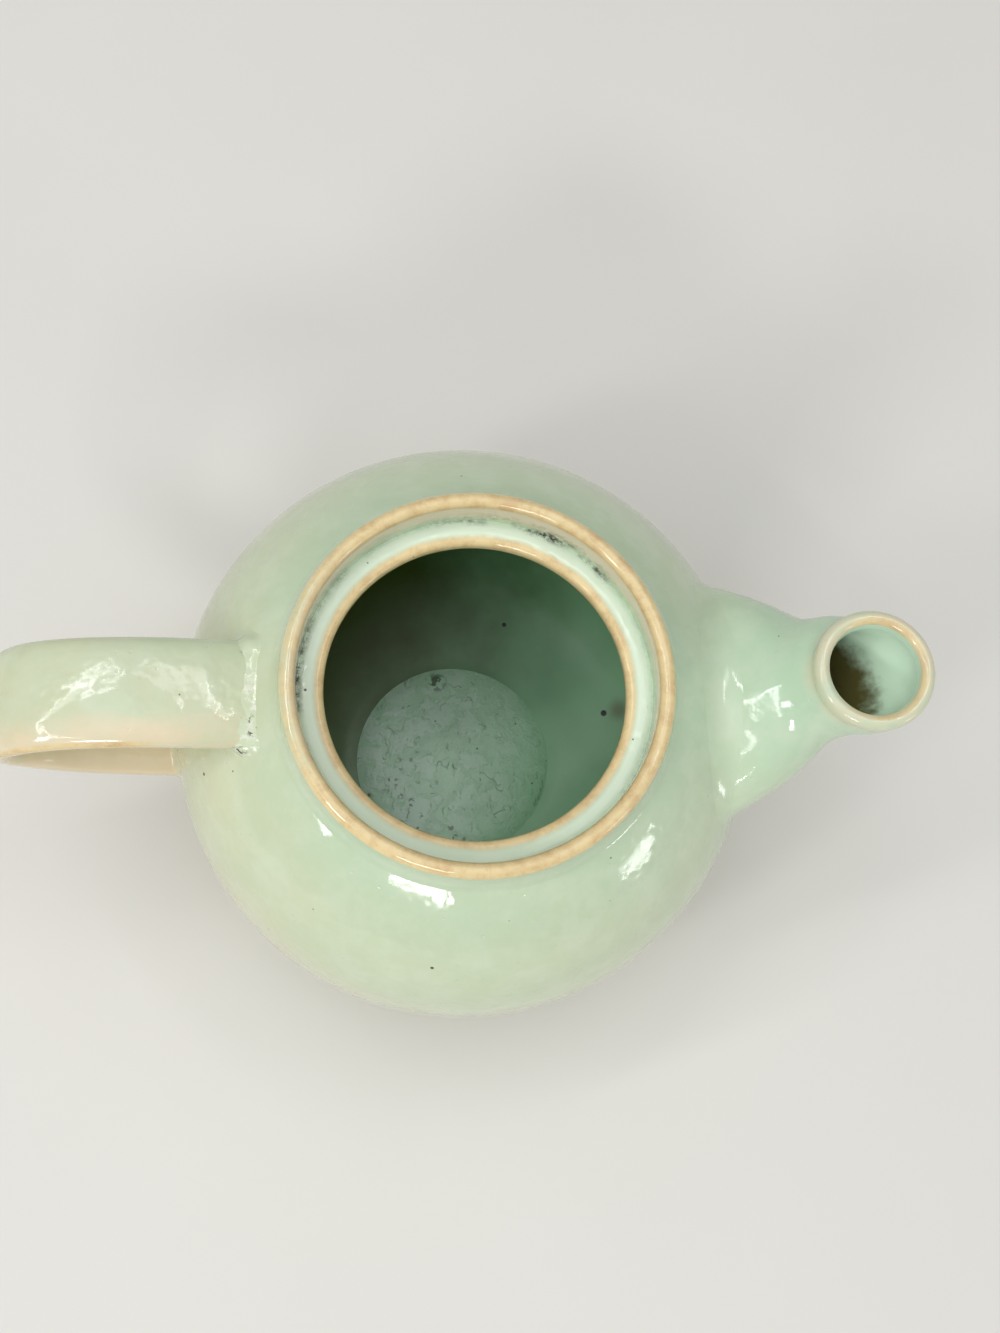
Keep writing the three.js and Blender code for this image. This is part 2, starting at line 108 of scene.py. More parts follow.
def curve_points(half_axis, rise, fullness, radii, steps):
    """Points of the curve from the first of two radii to the second, evenly spaced by angle."""
    start, end = (math.acos(min((radius / half_axis) ** (fullness / 2), 1)) for radius in radii)
    points = []
    for step in range(steps + 1):
        angle = start + (end - start) * step / steps
        radius = half_axis * math.cos(angle) ** (2 / fullness)
        points.append((radius, BELLY_HEIGHT + rise * math.sin(angle) ** (2 / fullness)))
    return points


def skin(point):
    """How far a point is outside the body, and the direction straight out of it."""
    radius = max(math.hypot(point.x, point.y), 0.01)
    over = point.z - BELLY_HEIGHT
    rise = SHOULDER_RISE if over > 0 else UNDERSIDE_DROP
    fullness = SHOULDER_FULLNESS if over > 0 else UNDERSIDE_FULLNESS
    across, up = radius / BODY_RADIUS, abs(over) / rise
    value = across**fullness + up**fullness - 1
    steepness = math.copysign(up ** (fullness - 1) / rise, over)
    slope = Vector((across ** (fullness - 1) / BODY_RADIUS, steepness))
    distance = value / (fullness * slope.length)
    slope.normalize()
    out = Vector((slope.x * point.x / radius, slope.x * point.y / radius, slope.y))
    return distance, out


def onto_skin(point, depth):
    """The point moved straight in or out until it lies `depth` under the body's surface."""
    for _ in range(6):
        distance, out = skin(point)
        point = point - out * (distance + depth)
    return point


print("shoulder at the collar", round(shoulder_height(COLLAR_RADIUS), 2), "mm high")

# %% [markdown]
# Everything thrown on the wheel is a profile turned round an axis. The profile starts as a single
# vertex that is extruded from point to point, and Spin then does what the wheel does. A cylinder
# pushed into shape would need many more steps for the same curve.

# %% Wheel work
MERGE_DISTANCE = 0.004
SHARP_DEGREES = 50


def turned(name, profile, sides=160, axis_x=0):
    """Turns a profile of (radius, height) points round an upright axis."""
    bpy.ops.object.select_all(action="DESELECT")
    bpy.ops.mesh.primitive_plane_add(size=2 * MM, location=(0, 0, 0))
    piece = bpy.context.object
    piece.name = name
    bpy.ops.object.mode_set(mode="EDIT")
    bpy.ops.mesh.select_all(action="SELECT")
    bpy.ops.mesh.merge(type="CENTER")
    last = (0, 0)
    for count, point in enumerate(profile):
        move = ((point[0] - last[0]) * MM, 0, (point[1] - last[1]) * MM)
        if count == 0:
            start = (move[0] + axis_x * MM, 0, move[2])
            bpy.ops.transform.translate(value=start)
        else:
            bpy.ops.mesh.extrude_vertices_move(TRANSFORM_OT_translate={"value": move})
        last = point
    bpy.ops.mesh.select_all(action="SELECT")
    bpy.ops.mesh.spin(steps=sides, angle=2 * math.pi, center=(axis_x * MM, 0, 0), axis=(0, 0, 1))
    return close_up(piece)


def close_up(piece):
    """Merges the seam and the poles, turns the faces outwards and shades soft edges smooth."""
    bpy.ops.mesh.select_all(action="SELECT")
    bpy.ops.mesh.remove_doubles(threshold=MERGE_DISTANCE * MM)
    bpy.ops.mesh.normals_make_consistent(inside=False)
    bpy.ops.object.mode_set(mode="OBJECT")
    bpy.ops.object.shade_smooth_by_angle(angle=math.radians(SHARP_DEGREES))
    return piece


def arc(centre, radius, from_degrees, to_degrees, steps):
    points = []
    for step in range(steps + 1):
        angle = math.radians(from_degrees + (to_degrees - from_degrees) * step / steps)
        points.append((centre[0] + radius * math.cos(angle), centre[1] + radius * math.sin(angle)))
    return points


def steps_from(corner, steps):
    """Profile points that are given by how far they lie from one corner, across and up."""
    return [(corner[0] + across, corner[1] + up) for across, up in steps]


def report(piece):
    sizes = [round(size / MM, 1) for size in piece.dimensions]
    print(piece.name, "has", len(piece.data.polygons), "faces and measures", sizes, "mm")


def pick(piece):
    bpy.ops.object.select_all(action="DESELECT")
    piece.select_set(True)
    bpy.context.view_layer.objects.active = piece


print("wheel work ready")

# %% [markdown]
# The body is one thin shell: the outside runs from under the foot over the belly to the mouth,
# and the inside runs back down to the floor. Both come from the same kind of curve, 4.5 mm apart,
# so one closed profile makes a wall with its real thickness.

# %% The thrown body
INNER_RADIUS = BODY_RADIUS - WALL
INNER_DROP = (BELLY_HEIGHT - FLOOR) / quarter(FLOOR_RADIUS, INNER_RADIUS, 1, UNDERSIDE_FULLNESS)
RIM = COLLAR_RADIUS + 0.3
FLOOR_STEPS = 6


def body_profile():
    under, over = UNDERSIDE_FULLNESS, SHOULDER_FULLNESS
    outside = [(FOOT_RADIUS * i / FLOOR_STEPS, BASE) for i in range(FLOOR_STEPS)]
    outside += curve_points(BODY_RADIUS, -UNDERSIDE_DROP, under, (FOOT_RADIUS, BODY_RADIUS), 28)
    outside += curve_points(BODY_RADIUS, SHOULDER_RISE, over, (BODY_RADIUS, RIM), 34)[1:]
    inside = curve_points(INNER_RADIUS, SHOULDER_RISE - WALL, over, (RIM, INNER_RADIUS), 26)
    inside += curve_points(INNER_RADIUS, -INNER_DROP, under, (INNER_RADIUS, FLOOR_RADIUS), 26)[1:]
    inside += [(FLOOR_RADIUS * (1 - i / FLOOR_STEPS), FLOOR) for i in range(1, FLOOR_STEPS + 1)]
    return outside + inside


thrown_body = turned("thrown_body", body_profile(), sides=192)
report(thrown_body)

# %% [markdown]
# Behind the spout a round patch of the wall is pierced, so that leaves stay in the pot. The
# potter cuts the holes with a tube. Here the patch is cut out of a copy of the body with a
# cylinder, so that it has the body's own curve, and the holes are cut with thinner ones.

# %% The pierced strainer
STRAINER_RADIUS = 11.5
STRAINER_HEIGHT = 66
STRAINER_PITCH = 6.6
STRAINER_GAP = 0.15
OUTER_HOLES = 6
HOLE_RADIUS = 1.8
HOLE_SIDES = 20
CUTTER_LENGTH = 24
middle_of_strainer = Vector((body_radius_at(STRAINER_HEIGHT), 0, STRAINER_HEIGHT))
strainer_out = skin(middle_of_strainer)[1]


def drill(radius, along=0, across=0, sides=48):
    """A straight cutter through the wall, square to it at the strainer's middle."""
    up = strainer_out.cross(Vector((0, 1, 0))).normalized()
    place = middle_of_strainer + up * along + Vector((0, across, 0))
    bpy.ops.object.select_all(action="DESELECT")
    bpy.ops.mesh.primitive_cylinder_add(
        vertices=sides,
        radius=radius * MM,
        depth=CUTTER_LENGTH * MM,
        location=place * MM,
        rotation=strainer_out.to_track_quat("Z", "Y").to_euler(),
    )
    return bpy.context.object


def cut(piece, cutter, operation="DIFFERENCE"):
    pick(piece)
    knife = piece.modifiers.new("cut", "BOOLEAN")
    knife.operation = operation
    knife.object = cutter
    bpy.ops.object.modifier_apply(modifier="cut")
    bpy.data.objects.remove(cutter)


pick(thrown_body)
bpy.ops.object.duplicate()
pierced_strainer = bpy.context.object
pierced_strainer.name = "pierced_strainer"
cut(pierced_strainer, drill(STRAINER_RADIUS), "INTERSECT")
cut(pierced_strainer, drill(HOLE_RADIUS, sides=HOLE_SIDES))
for hole in range(OUTER_HOLES):
    turn = hole * 2 * math.pi / OUTER_HOLES
    along, across = STRAINER_PITCH * math.sin(turn), STRAINER_PITCH * math.cos(turn)
    cut(pierced_strainer, drill(HOLE_RADIUS, along, across, HOLE_SIDES))
cut(thrown_body, drill(STRAINER_RADIUS + STRAINER_GAP))
report(pierced_strainer)
report(thrown_body)

# %% [markdown]
# The foot is trimmed when the clay is leather hard. Its outside leans a little and runs up into
# the body, and its bearing edge is rubbed soft. The top is sunk into the body, so no gap shows.
# The glaze on the floor is a thin turned disc. It is sunk in as well, and its edge slopes gently,
# as melted glaze does where it stops. Profiles are measured from the sizes that they belong to, so
# that they follow when one of these is changed.

# %% The trimmed foot and the glaze on the floor
FOOT_INNER_RADIUS = 28.5
FOOT_ROUNDING = 0.9
FOOT_SUNK = 0.3
POOL_RADIUS = 24.2
POOL_SUNK = 0.2
POOL_MIDDLE = 12
bearing_edge = (FOOT_RADIUS - 1, FOOT_ROUNDING)
inner_edge = (FOOT_INNER_RADIUS + FOOT_ROUNDING, FOOT_ROUNDING)
trimmed_foot = turned(
    "trimmed_foot",
    [(inner_edge[0], 0), (bearing_edge[0], 0)]
    + arc(bearing_edge, FOOT_ROUNDING, -80, 0, 5)
    + steps_from((FOOT_RADIUS, BASE), [(-0.15, -1.7), (-0.1, -0.9), (0, -0.2), (0, FOOT_SUNK)])
    + steps_from((FOOT_INNER_RADIUS, BASE), [(0.1, FOOT_SUNK), (0, -0.2)])
    + [(FOOT_INNER_RADIUS, FOOT_ROUNDING)]
    + arc(inner_edge, FOOT_ROUNDING, 180, 260, 5)
    + [(inner_edge[0], 0)],
    sides=144,
)
floor_glaze = turned(
    "floor_glaze",
    [(0, FLOOR - POOL_SUNK), (POOL_MIDDLE, FLOOR - POOL_SUNK)]
    + steps_from((POOL_RADIUS, FLOOR), [(0, -POOL_SUNK), (0, -0.02), (-0.3, 0.1), (-0.8, 0.3)])
    + steps_from((POOL_RADIUS, FLOOR), [(-1.6, 0.55), (-2.7, 0.8), (-4.2, 0.97), (-6.2, 1.05)])
    + [(POOL_MIDDLE, FLOOR + 1), (POOL_MIDDLE / 2, FLOOR + 1.08), (0, FLOOR + 1.06)],
    sides=144,
)
report(trimmed_foot)
report(floor_glaze)

# %% [markdown]
# The gallery is a flat ledge for a lid and a low collar round it. Where they meet there is a
# narrow groove that catches glaze and dirt. The collar's outside swells into the shoulder with a
# small hollow, as wet clay does under a finger, and its crest is a soft roll.

# %% The ledge and the collar
LEDGE_ROUNDING = 1.5
LEDGE_UNDER_ROUNDING = 1.6
LEDGE_INTO_BODY = 0.4
COLLAR_ROLL = 1.7
COLLAR_FLARE = 2.8
COLLAR_SUNK = 0.6
FLARE_SUNK = 0.06
ledge_edge = (COLLAR_RADIUS + LEDGE_INTO_BODY, LEDGE_TOP - 0.4)
under_edge = (OPENING_RADIUS + LEDGE_UNDER_ROUNDING, LEDGE_BOTTOM + LEDGE_UNDER_ROUNDING)
groove = (COLLAR_INNER_RADIUS, LEDGE_TOP)
lid_seat = turned(
    "lid_seat",
    [(under_edge[0], LEDGE_BOTTOM), (ledge_edge[0], LEDGE_BOTTOM), ledge_edge]
    + steps_from(groove, [(0.6, -0.4), (0, -0.35), (-0.35, -0.2), (-0.7, -0.05), (-1.6, 0), (-2.8, 0)])
    + arc((OPENING_RADIUS + LEDGE_ROUNDING, LEDGE_TOP - LEDGE_ROUNDING), LEDGE_ROUNDING, 90, 180, 10)
    + arc(under_edge, LEDGE_UNDER_ROUNDING, 180, 270, 6),
)
flare_foot = (COLLAR_RADIUS, shoulder_height(COLLAR_RADIUS + COLLAR_FLARE) - FLARE_SUNK)
outer_foot = (COLLAR_RADIUS, LEDGE_TOP - COLLAR_SUNK)
inner_foot = (COLLAR_INNER_RADIUS, LEDGE_TOP - COLLAR_SUNK)
mouth_collar = turned(
    "mouth_collar",
    [inner_foot]
    + steps_from(outer_foot, [(0.2, 0), (0.2, 2), (1.8, 1.8)])
    + steps_from(flare_foot, [(COLLAR_FLARE, 0), (1.9, 0.62), (1.2, 1.3), (0.65, 2.15)])
    + steps_from(flare_foot, [(0.3, 3.05), (0.1, 3.9)])
    + arc((COLLAR_RADIUS - COLLAR_ROLL, COLLAR_TOP - COLLAR_ROLL), COLLAR_ROLL, 0, 90, 10)
    + arc((COLLAR_INNER_RADIUS + COLLAR_ROLL, COLLAR_TOP - COLLAR_ROLL), COLLAR_ROLL, 95, 180, 10)
    + steps_from(inner_foot, [(0.02, 5.3), (0.1, 3), (0.15, 1.7), (0.05, 0.9), (0, 0)]),
)
report(lid_seat)
report(mouth_collar)

# %% [markdown]
# The spout and the handle aren't turned on a wheel as they stand. A circle is extruded ring by
# ring instead, and each ring is put where the form has that section. Both get one mesh with even
# faces along their length, which the Curve objects of Blender don't give for a changing section.

# %% Rings that follow a path
def pulled(name, rings):
    """Extrudes a circle through rings of points. Equal first and last rings close it."""
    bpy.ops.object.select_all(action="DESELECT")
    bpy.ops.mesh.primitive_circle_add(vertices=len(rings[0]), radius=MM, location=(0, 0, 0))
    piece = bpy.context.object
    piece.name = name
    bpy.ops.object.mode_set(mode="EDIT")
    bpy.ops.mesh.select_all(action="SELECT")
    mesh = bmesh.from_edit_mesh(piece.data)
    mesh.verts.ensure_lookup_table()
    ring_verts = list(mesh.verts)
    for count, ring in enumerate(rings):
        if count > 0:
            bpy.ops.mesh.extrude_region()
            mesh = bmesh.from_edit_mesh(piece.data)
            ring_verts = match(mesh, places)
        for vert, point in zip(ring_verts, ring):
            vert.co = point * MM
        places = {tuple(vert.co): order for order, vert in enumerate(ring_verts)}
        bmesh.update_edit_mesh(piece.data)
    return close_up(piece)


def match(mesh, places):
    """The freshly extruded vertices in the order of the ring that they came from."""
    fresh = [None] * len(places)
    for vert in mesh.verts:
        if vert.select:
            fresh[places[tuple(vert.co)]] = vert
    return fresh


print("rings ready")

# %% [markdown]
# The spout is a thrown cone that is squeezed narrow and turned up at its end. Its middle runs from
# the body to the mouth, and its section changes on the way: wide and low at the root, drawn in at
# the throat, round at the neck. Each line of the cone starts a little inside the wall, so that the
# root follows the round body.

# %% The shape of the spout
SPOUT_START = (46, 60)
SPOUT_SIDES = 128
ROOT_TILT = 30
ROOT_HALF_WIDTH = 29.5
ROOT_ABOVE = 12.5
ROOT_BELOW = 20
WAIST_ABOVE = 10
WAIST_SHARE = 0.55
WAIST_SAG = 1.6
CONE_FULLNESS = 1.5
CONE_EASE = 2
FLANK_SWELL = 1.2
THROAT_SHARE = 0.71
THROAT_SPREAD = 0.13
THROAT_DEPTH = 2.1
THROAT_UPRIGHT = 0.6
UPRIGHT_SHARE = 0.97
TURN_UP = 1.8
NECK_BEND = 0.12
spout_angles = [2 * math.pi * side / SPOUT_SIDES for side in range(SPOUT_SIDES)]


def spout_lean(share):
    """The spout was pressed on by hand: it sits a little to one side, most of all at its throat."""
    whole = 0.55 * (1 - rise_between(share, 0.85, 1))
    throat = 0.7 * rise_between(share, 0.5, 0.8) * (1 - rise_between(share, 0.84, 1))
    return whole + throat


def spout_reach(share):
    """How far out the spout has come. It slows at the end, so the neck ends upright under the lip."""
    left = 1 - share
    if left > NECK_BEND:
        return 1 - (left - NECK_BEND / 2) / (1 - NECK_BEND / 2)
    return 1 - left**2 / (2 * NECK_BEND * (1 - NECK_BEND / 2))


def spout_point(share, angle, grow=0.0):
    """A point of the spout's wall: share runs from the root to the neck, angle round it."""
    z = SPOUT_START[1] + (NECK_TOP - SPOUT_START[1]) * share - WAIST_SAG * math.sin(math.pi * share)
    reach = spout_reach(share)
    x = SPOUT_START[0] + (MOUTH_REACH - SPOUT_START[0]) * reach
    cone = (1 - reach**CONE_FULLNESS) ** CONE_EASE
    throat = THROAT_DEPTH * math.exp(-(((reach - THROAT_SHARE) / THROAT_SPREAD) ** 2))
    half_width = NECK_RADIUS + (ROOT_HALF_WIDTH - NECK_RADIUS) * cone - throat
    half_width += FLANK_SWELL * math.sin(math.pi * reach) ** 2
    below = NECK_RADIUS + (ROOT_BELOW - NECK_RADIUS) * cone - THROAT_UPRIGHT * throat
    above = NECK_RADIUS + (ROOT_ABOVE - NECK_RADIUS) * cone - THROAT_UPRIGHT * throat
    above += (WAIST_ABOVE - above) * max(1 - ((reach - WAIST_SHARE) / (1 - WAIST_SHARE)) ** 2, 0)
    turned_up = min(share / UPRIGHT_SHARE, 1) ** TURN_UP
    tilt = math.radians(ROOT_TILT + (90 - ROOT_TILT) * turned_up)
    rise = ((above if math.sin(angle) > 0 else below) + grow) * math.sin(angle)
    across = (half_width + grow) * math.cos(angle) + spout_lean(reach)
    return Vector((x - math.sin(tilt) * rise, across, z + math.cos(tilt) * rise))


print("the spout's neck ends at", [round(part, 1) for part in spout_point(1, 0)], "mm")

# %% [markdown]
# Where a line of the cone goes into the body's wall is found by halving, and the spout starts
# there. The outer wall and the channel are two such sets of rings. They are joined at the mouth
# and at the root, so the spout is one closed tube with its real wall.

# %% The pouring spout
def share_at_depth(line, depth, low=0.0, high=1.0):
    """Where a line, inside the body at `low` and outside at `high`, is `depth` under its surface."""
    for _ in range(30):
        half = (low + high) / 2
        if skin(line(half))[0] < -depth:
            low = half
        else:
            high = half
    return high


def spout_rings(grow, depth, steps):
    starts = [share_at_depth(lambda s, a=a: spout_point(s, a, grow), depth) for a in spout_angles]
    rings = []
    for step in range(steps + 1):
        left = 1 - step / steps
        lines = zip(starts, spout_angles)
        rings.append([spout_point(1 - (1 - start) * left, a, grow) for start, a in lines])
    return rings


outer_rings = spout_rings(grow=0, depth=1.6, steps=44)
bore_rings = spout_rings(grow=-SPOUT_WALL, depth=0.7, steps=30)
pouring_spout = pulled("pouring_spout", outer_rings + bore_rings[::-1] + outer_rings[:1])
report(pouring_spout)

# %% [markdown]
# The mouth of the spout has a thick rolled lip, thrown with the cone. It is a small turned ring.
# Its lower part slips into the neck's wall and comes out of it slowly, so no step shows there.

# %% The rolled lip
LIP_ROLL = 1.6
LIP_INTO_NECK = 1.6
outside_foot = (LIP_RADIUS, NECK_TOP - LIP_INTO_NECK)
bore_foot = (LIP_BORE_RADIUS, NECK_TOP - LIP_INTO_NECK)
rolled_lip = turned(
    "rolled_lip",
    steps_from(outside_foot, [(-2.4, 0), (-0.7, 0), (-0.28, 0.5), (-0.13, 1), (-0.07, 1.5), (-0.03, 2)])
    + arc((LIP_RADIUS - LIP_ROLL, MOUTH_HEIGHT - LIP_ROLL), LIP_ROLL, 0, 90, 10)
    + arc((LIP_BORE_RADIUS + LIP_ROLL, MOUTH_HEIGHT - LIP_ROLL), LIP_ROLL, 90, 180, 10)[1:]
    + steps_from(bore_foot, [(-0.1, 2.5), (-0.2, 2), (-0.225, 1.7), (-0.2, 1.4), (-0.14, 1.1)])
    + steps_from(bore_foot, [(0.2, 0.5), (0.8, 0)]),
    sides=128,
    axis_x=MOUTH_REACH,
)
report(rolled_lip)

# %% [markdown]
# Pieces are luted: scored, wetted and pressed together, and the seam is smoothed with a roll of
# soft clay. The roll leaves one surface along its slope and lands on the other along that slope,
# so a Bezier curve with both slopes as handles is its section. The section is swept round the
# joint. A fillet made by the Bevel tool would need one joined mesh, but these are two pieces.

# %% Rolls of soft clay
LUTING_STEPS = 12
LUTING_HANDLE = 0.6
LUMP_SIZE = 3.2
SHARE_STEP = 0.002


def bezier(a, b, c, d, share):
    rest = 1 - share
    return a * rest**3 + b * 3 * rest**2 * share + c * 3 * rest * share**2 + d * share**3


def luting(name, lines, reach_up, reach_out, sunk=0.12, core=1.2, lumps=0.0):
    """A roll of clay where lines, given from inside to outside, leave the body's surface.
    It reaches up along each line and out over the body by that line's own sizes. Lumps are the
    finger marks in it, as a height in millimetres. They fade out at both edges."""
    exits = [share_at_depth(line, 0) for line in lines]
    hub = sum((line(share) for line, share in zip(lines, exits)), Vector()) / len(lines)
    sections = []
    for count, line in enumerate(lines):
        corner = line(exits[count])
        tip_share = exits[count]
        while (line(tip_share) - corner).length < reach_up[count]:
            tip_share += SHARE_STEP
        tip = line(tip_share)
        along = (line(tip_share + SHARE_STEP) - line(tip_share - SHARE_STEP)).normalized()
        beside = lines[(count + 1) % len(lines)](tip_share) - lines[count - 1](tip_share)
        inward = along.cross(beside).normalized()
        if inward.dot(hub - corner) < 0:
            inward = -inward
        normal = skin(corner)[1]
        away = -(inward - normal * inward.dot(normal)).normalized()
        toe = onto_skin(corner + away * reach_out[count], sunk)
        toe_normal = skin(toe)[1]
        back = corner - toe
        back = (back - toe_normal * back.dot(toe_normal)).normalized()
        tip = tip + inward * sunk
        from_toe = toe + back * reach_out[count] * LUTING_HANDLE
        from_tip = tip - along * reach_up[count] * LUTING_HANDLE
        outward = (normal - inward).normalized()
        curve = []
        for step in range(LUTING_STEPS + 1):
            point = bezier(toe, from_toe, from_tip, tip, step / LUTING_STEPS)
            fade = math.sin(math.pi * step / LUTING_STEPS) ** 2
            curve.append(point + outward * lumps * (noise.noise(point / LUMP_SIZE) + 0.2) * fade)
        heart = onto_skin(corner + inward * core, core)
        sections.append(curve + [tip + inward * core, heart, toe - toe_normal * core, curve[0]])
    rings = [list(ring) for ring in zip(*sections)]
    return pulled(name, rings)


print("rolls of clay ready")

# %% [markdown]
# Round the spout the roll is fullest on top, where the root leaves the shoulder in a wide hollow,
# and thin at the sides and below. Its lines are the same ones that the spout was made from.

# %% Soft clay round the spout's joint
def fuller_on_top(top, side):
    return [side + (top - side) * max(math.sin(angle), 0) for angle in spout_angles]


spout_lines = [lambda share, a=angle: spout_point(share, a) for angle in spout_angles]
spout_luting = luting(
    "spout_luting",
    spout_lines,
    reach_up=fuller_on_top(7, 2.8),
    reach_out=fuller_on_top(6.5, 2.4),
)
report(spout_luting)

# %% [markdown]
# The handle is a strap pulled from a wet lump, laid in a loop from the shoulder to the belly. Its
# middle line is two Bezier curves that meet at the far side of the loop. They are walked along by
# length, because equal steps of a Bezier curve's own number aren't equally long.

# %% The strap's path
HANDLE_REACH = 100
HANDLE_FAR_HEIGHT = 65
UPPER_SEAT = 49
UPPER_RISE = 18
UPPER_ARM = 32
UPPER_BEND = 21
LOWER_SEAT = 42
LOWER_RISE = 12
LOWER_ARM = 20
LOWER_BEND = 16
SEAT_DEPTH = 3
PATH_SAMPLES = 400


def arm(start, degrees, length):
    turn = math.radians(degrees)
    return start + Vector((-length * math.cos(turn), 0, length * math.sin(turn)))


upper_seat = Vector((-UPPER_SEAT + SEAT_DEPTH, 0, shoulder_height(UPPER_SEAT) - SEAT_DEPTH / 2))
far_side = Vector((-HANDLE_REACH, 0, HANDLE_FAR_HEIGHT))
lower_seat = Vector((-body_radius_at(LOWER_SEAT) + SEAT_DEPTH, 0, LOWER_SEAT - SEAT_DEPTH / 2))
upper_arm = arm(upper_seat, UPPER_RISE, UPPER_ARM)
lower_arm = arm(lower_seat, LOWER_RISE, LOWER_ARM)
upper_half = (upper_seat, upper_arm, far_side + Vector((0, 0, UPPER_BEND)), far_side)
lower_half = (far_side, far_side - Vector((0, 0, LOWER_BEND)), lower_arm, lower_seat)
path = [bezier(*upper_half, i / PATH_SAMPLES) for i in range(PATH_SAMPLES)]
path += [bezier(*lower_half, i / PATH_SAMPLES) for i in range(PATH_SAMPLES + 1)]
run = [0.0]
for before, after in zip(path, path[1:]):
    run.append(run[-1] + (after - before).length)


def strap_middle(share):
    """The point at a share of the strap's length, and the direction in which the strap runs there."""
    target = min(max(share, 0), 1) * run[-1]
    low, high = 0, len(run) - 1
    while high - low > 1:
        half = (low + high) // 2
        if run[half] <= target:
            low = half
        else:
            high = half
    part = (target - run[low]) / (run[high] - run[low])
    return path[low].lerp(path[high], part), (path[high] - path[low]).normalized()


print("the strap is", round(run[-1]), "mm long")

# %% [markdown]
# The strap's section is a flat rounded bar that gets narrower towards the belly. It is a circle
# again, pressed flat and extruded along the middle line. Both ends start inside the body's wall.

# %% The strap
STRAP_SIDES = 56
STRAP_RINGS = 110
STRAP_DEPTH = 1.5
STRAP_HALF_THICK = 3.43
STRAP_TOP_HALF_WIDTH = 11.5
STRAP_LOW_HALF_WIDTH = 8.6
NARROWS_FROM = 0.42
NARROWS_TO = 0.7
STRAP_SQUARENESS = 2.8
STRAP_LEAN = 0.4
SEAT_SHARE = 0.12


def squared(value):
    return math.copysign(abs(value) ** (2 / STRAP_SQUARENESS), value)


def strap_half_width(share):
    narrowed = rise_between(share, NARROWS_FROM, NARROWS_TO)
    return STRAP_TOP_HALF_WIDTH + (STRAP_LOW_HALF_WIDTH - STRAP_TOP_HALF_WIDTH) * narrowed


def strap_point(share, angle):
    middle, ahead = strap_middle(share)
    out = STRAP_HALF_THICK * squared(math.sin(angle))
    across = strap_half_width(share) * squared(math.cos(angle)) + STRAP_LEAN * (1 - share)
    return Vector((middle.x + ahead.z * out, across, middle.z - ahead.x * out))


def strap_rings():
    starts, ends = [], []
    for angle in strap_angles:
        from_top = lambda share, a=angle: strap_point(share, a)
        from_below = lambda share, a=angle: strap_point(1 - share, a)
        starts.append(share_at_depth(from_top, STRAP_DEPTH, 0, SEAT_SHARE))
        ends.append(1 - share_at_depth(from_below, STRAP_DEPTH, 0, SEAT_SHARE))
    rings = []
    for step in range(STRAP_RINGS + 1):
        share = step / STRAP_RINGS
        lines = zip(starts, ends, strap_angles)
        rings.append([strap_point(start + (end - start) * share, a) for start, end, a in lines])
    return rings


def capped(rings):
    """Rings with a point-like ring at each end, which close_up merges into a pole."""
    ends = []
    for ring in (rings[0], rings[-1]):
        hub = sum(ring, Vector()) / len(ring)
        ends.append([hub.lerp(point, 0.0001) for point in ring])
    return [ends[0]] + rings + [ends[1]]


strap_angles = [2 * math.pi * side / STRAP_SIDES for side in range(STRAP_SIDES)]
strap_handle = pulled("strap_handle", capped(strap_rings()))
report(strap_handle)

# %% [markdown]
# The strap is luted like the spout. Here the potter's fingers left the clay uneven, most of all at
# the upper joint, so the size of the roll wanders round the strap and small lumps stay in it.

# %% The clay round the strap's two ends
upper_lines = [lambda s, a=a: strap_point(s * 0.5, a) for a in strap_angles]
lower_lines = [lambda s, a=a: strap_point(1 - s * 0.5, a) for a in strap_angles[::-1]]


def uneven(size, change, seed):
    """Sizes that wander round the joint, as a hand doesn't press evenly."""
    sizes = []
    for angle in strap_angles:
        place = Vector((math.cos(angle), math.sin(angle), seed))
        sizes.append(size + change * noise.noise(place * 1.7))
    return sizes


upper_luting = luting(
    "upper_luting",
    upper_lines,
    reach_up=uneven(3.3, 4, seed=1),
    reach_out=uneven(2.9, 3.2, seed=4),
    sunk=0.2,
    core=0.9,
    lumps=0.75,
)
lower_luting = luting(
    "lower_luting",
    lower_lines,
    reach_up=uneven(3, 1.2, seed=2),
    reach_out=uneven(2.4, 1, seed=5),
    sunk=0.2,
    core=0.8,
    lumps=0.25,
)
report(upper_luting)
report(lower_luting)

# %% [markdown]
# Celadon runs off edges while it melts, and where it is thin the iron in the clay shows through
# as warm tan. How thin it is depends on the form, so each piece gets a number for every vertex,
# worked out from its place: 1 on the edges, 0 on the faces. The dirt in the groove, the pinkish
# blush, partly painted light on the strap's lower run, the milky ledge, partly painted light, and
# the painted highlight on the handle's upper joint are numbers of the same kind. The finish reads
# them all as attributes. Painting them by hand would work too, but the strokes wouldn't follow the
# sizes.

# %% Marks by place
def mark(piece, name, rule):
    """Gives every vertex a number from 0 to 1 by its place, in millimetres."""
    layer = piece.data.attributes.new(name, "FLOAT", "POINT")
    for vert in piece.data.vertices:
        layer.data[vert.index].value = rule(vert.co / MM)
    print(name, "marked on", piece.name)


def radius_of(point):
    return math.hypot(point.x, point.y)


def azimuth_of(point):
    return math.degrees(math.atan2(point.y, point.x))


print("marks ready")

# %% [markdown]
# On the mouth the glaze ran off the collar's crest and off the edge of the opening, and gathered
# thick and milky on the ledge between them, where the ledge is also lightened with painted light,
# most towards the back. Tea dirt stays in the groove behind the ledge. These rules read only how
# high a vertex lies, how far out, and in which direction round the pot.

# %% Marks on the collar and the ledge
def crest_thin(point):
    """Thin all round the crest, but less so on the side of the handle."""
    dull = 0.45 * (1 - rise_between(abs(azimuth_of(point) % 360 - 175), 20, 60))
    return rise_between(point.z, 88.2, 89.6) * (1 - dull)


def collar_blush(point):
    """The collar's inner wall was wiped, so the clay shows through it pinkish."""
    if radius_of(point) > 38.6:
        return 0
    return rise_between(point.z, 82.4, 84.5)


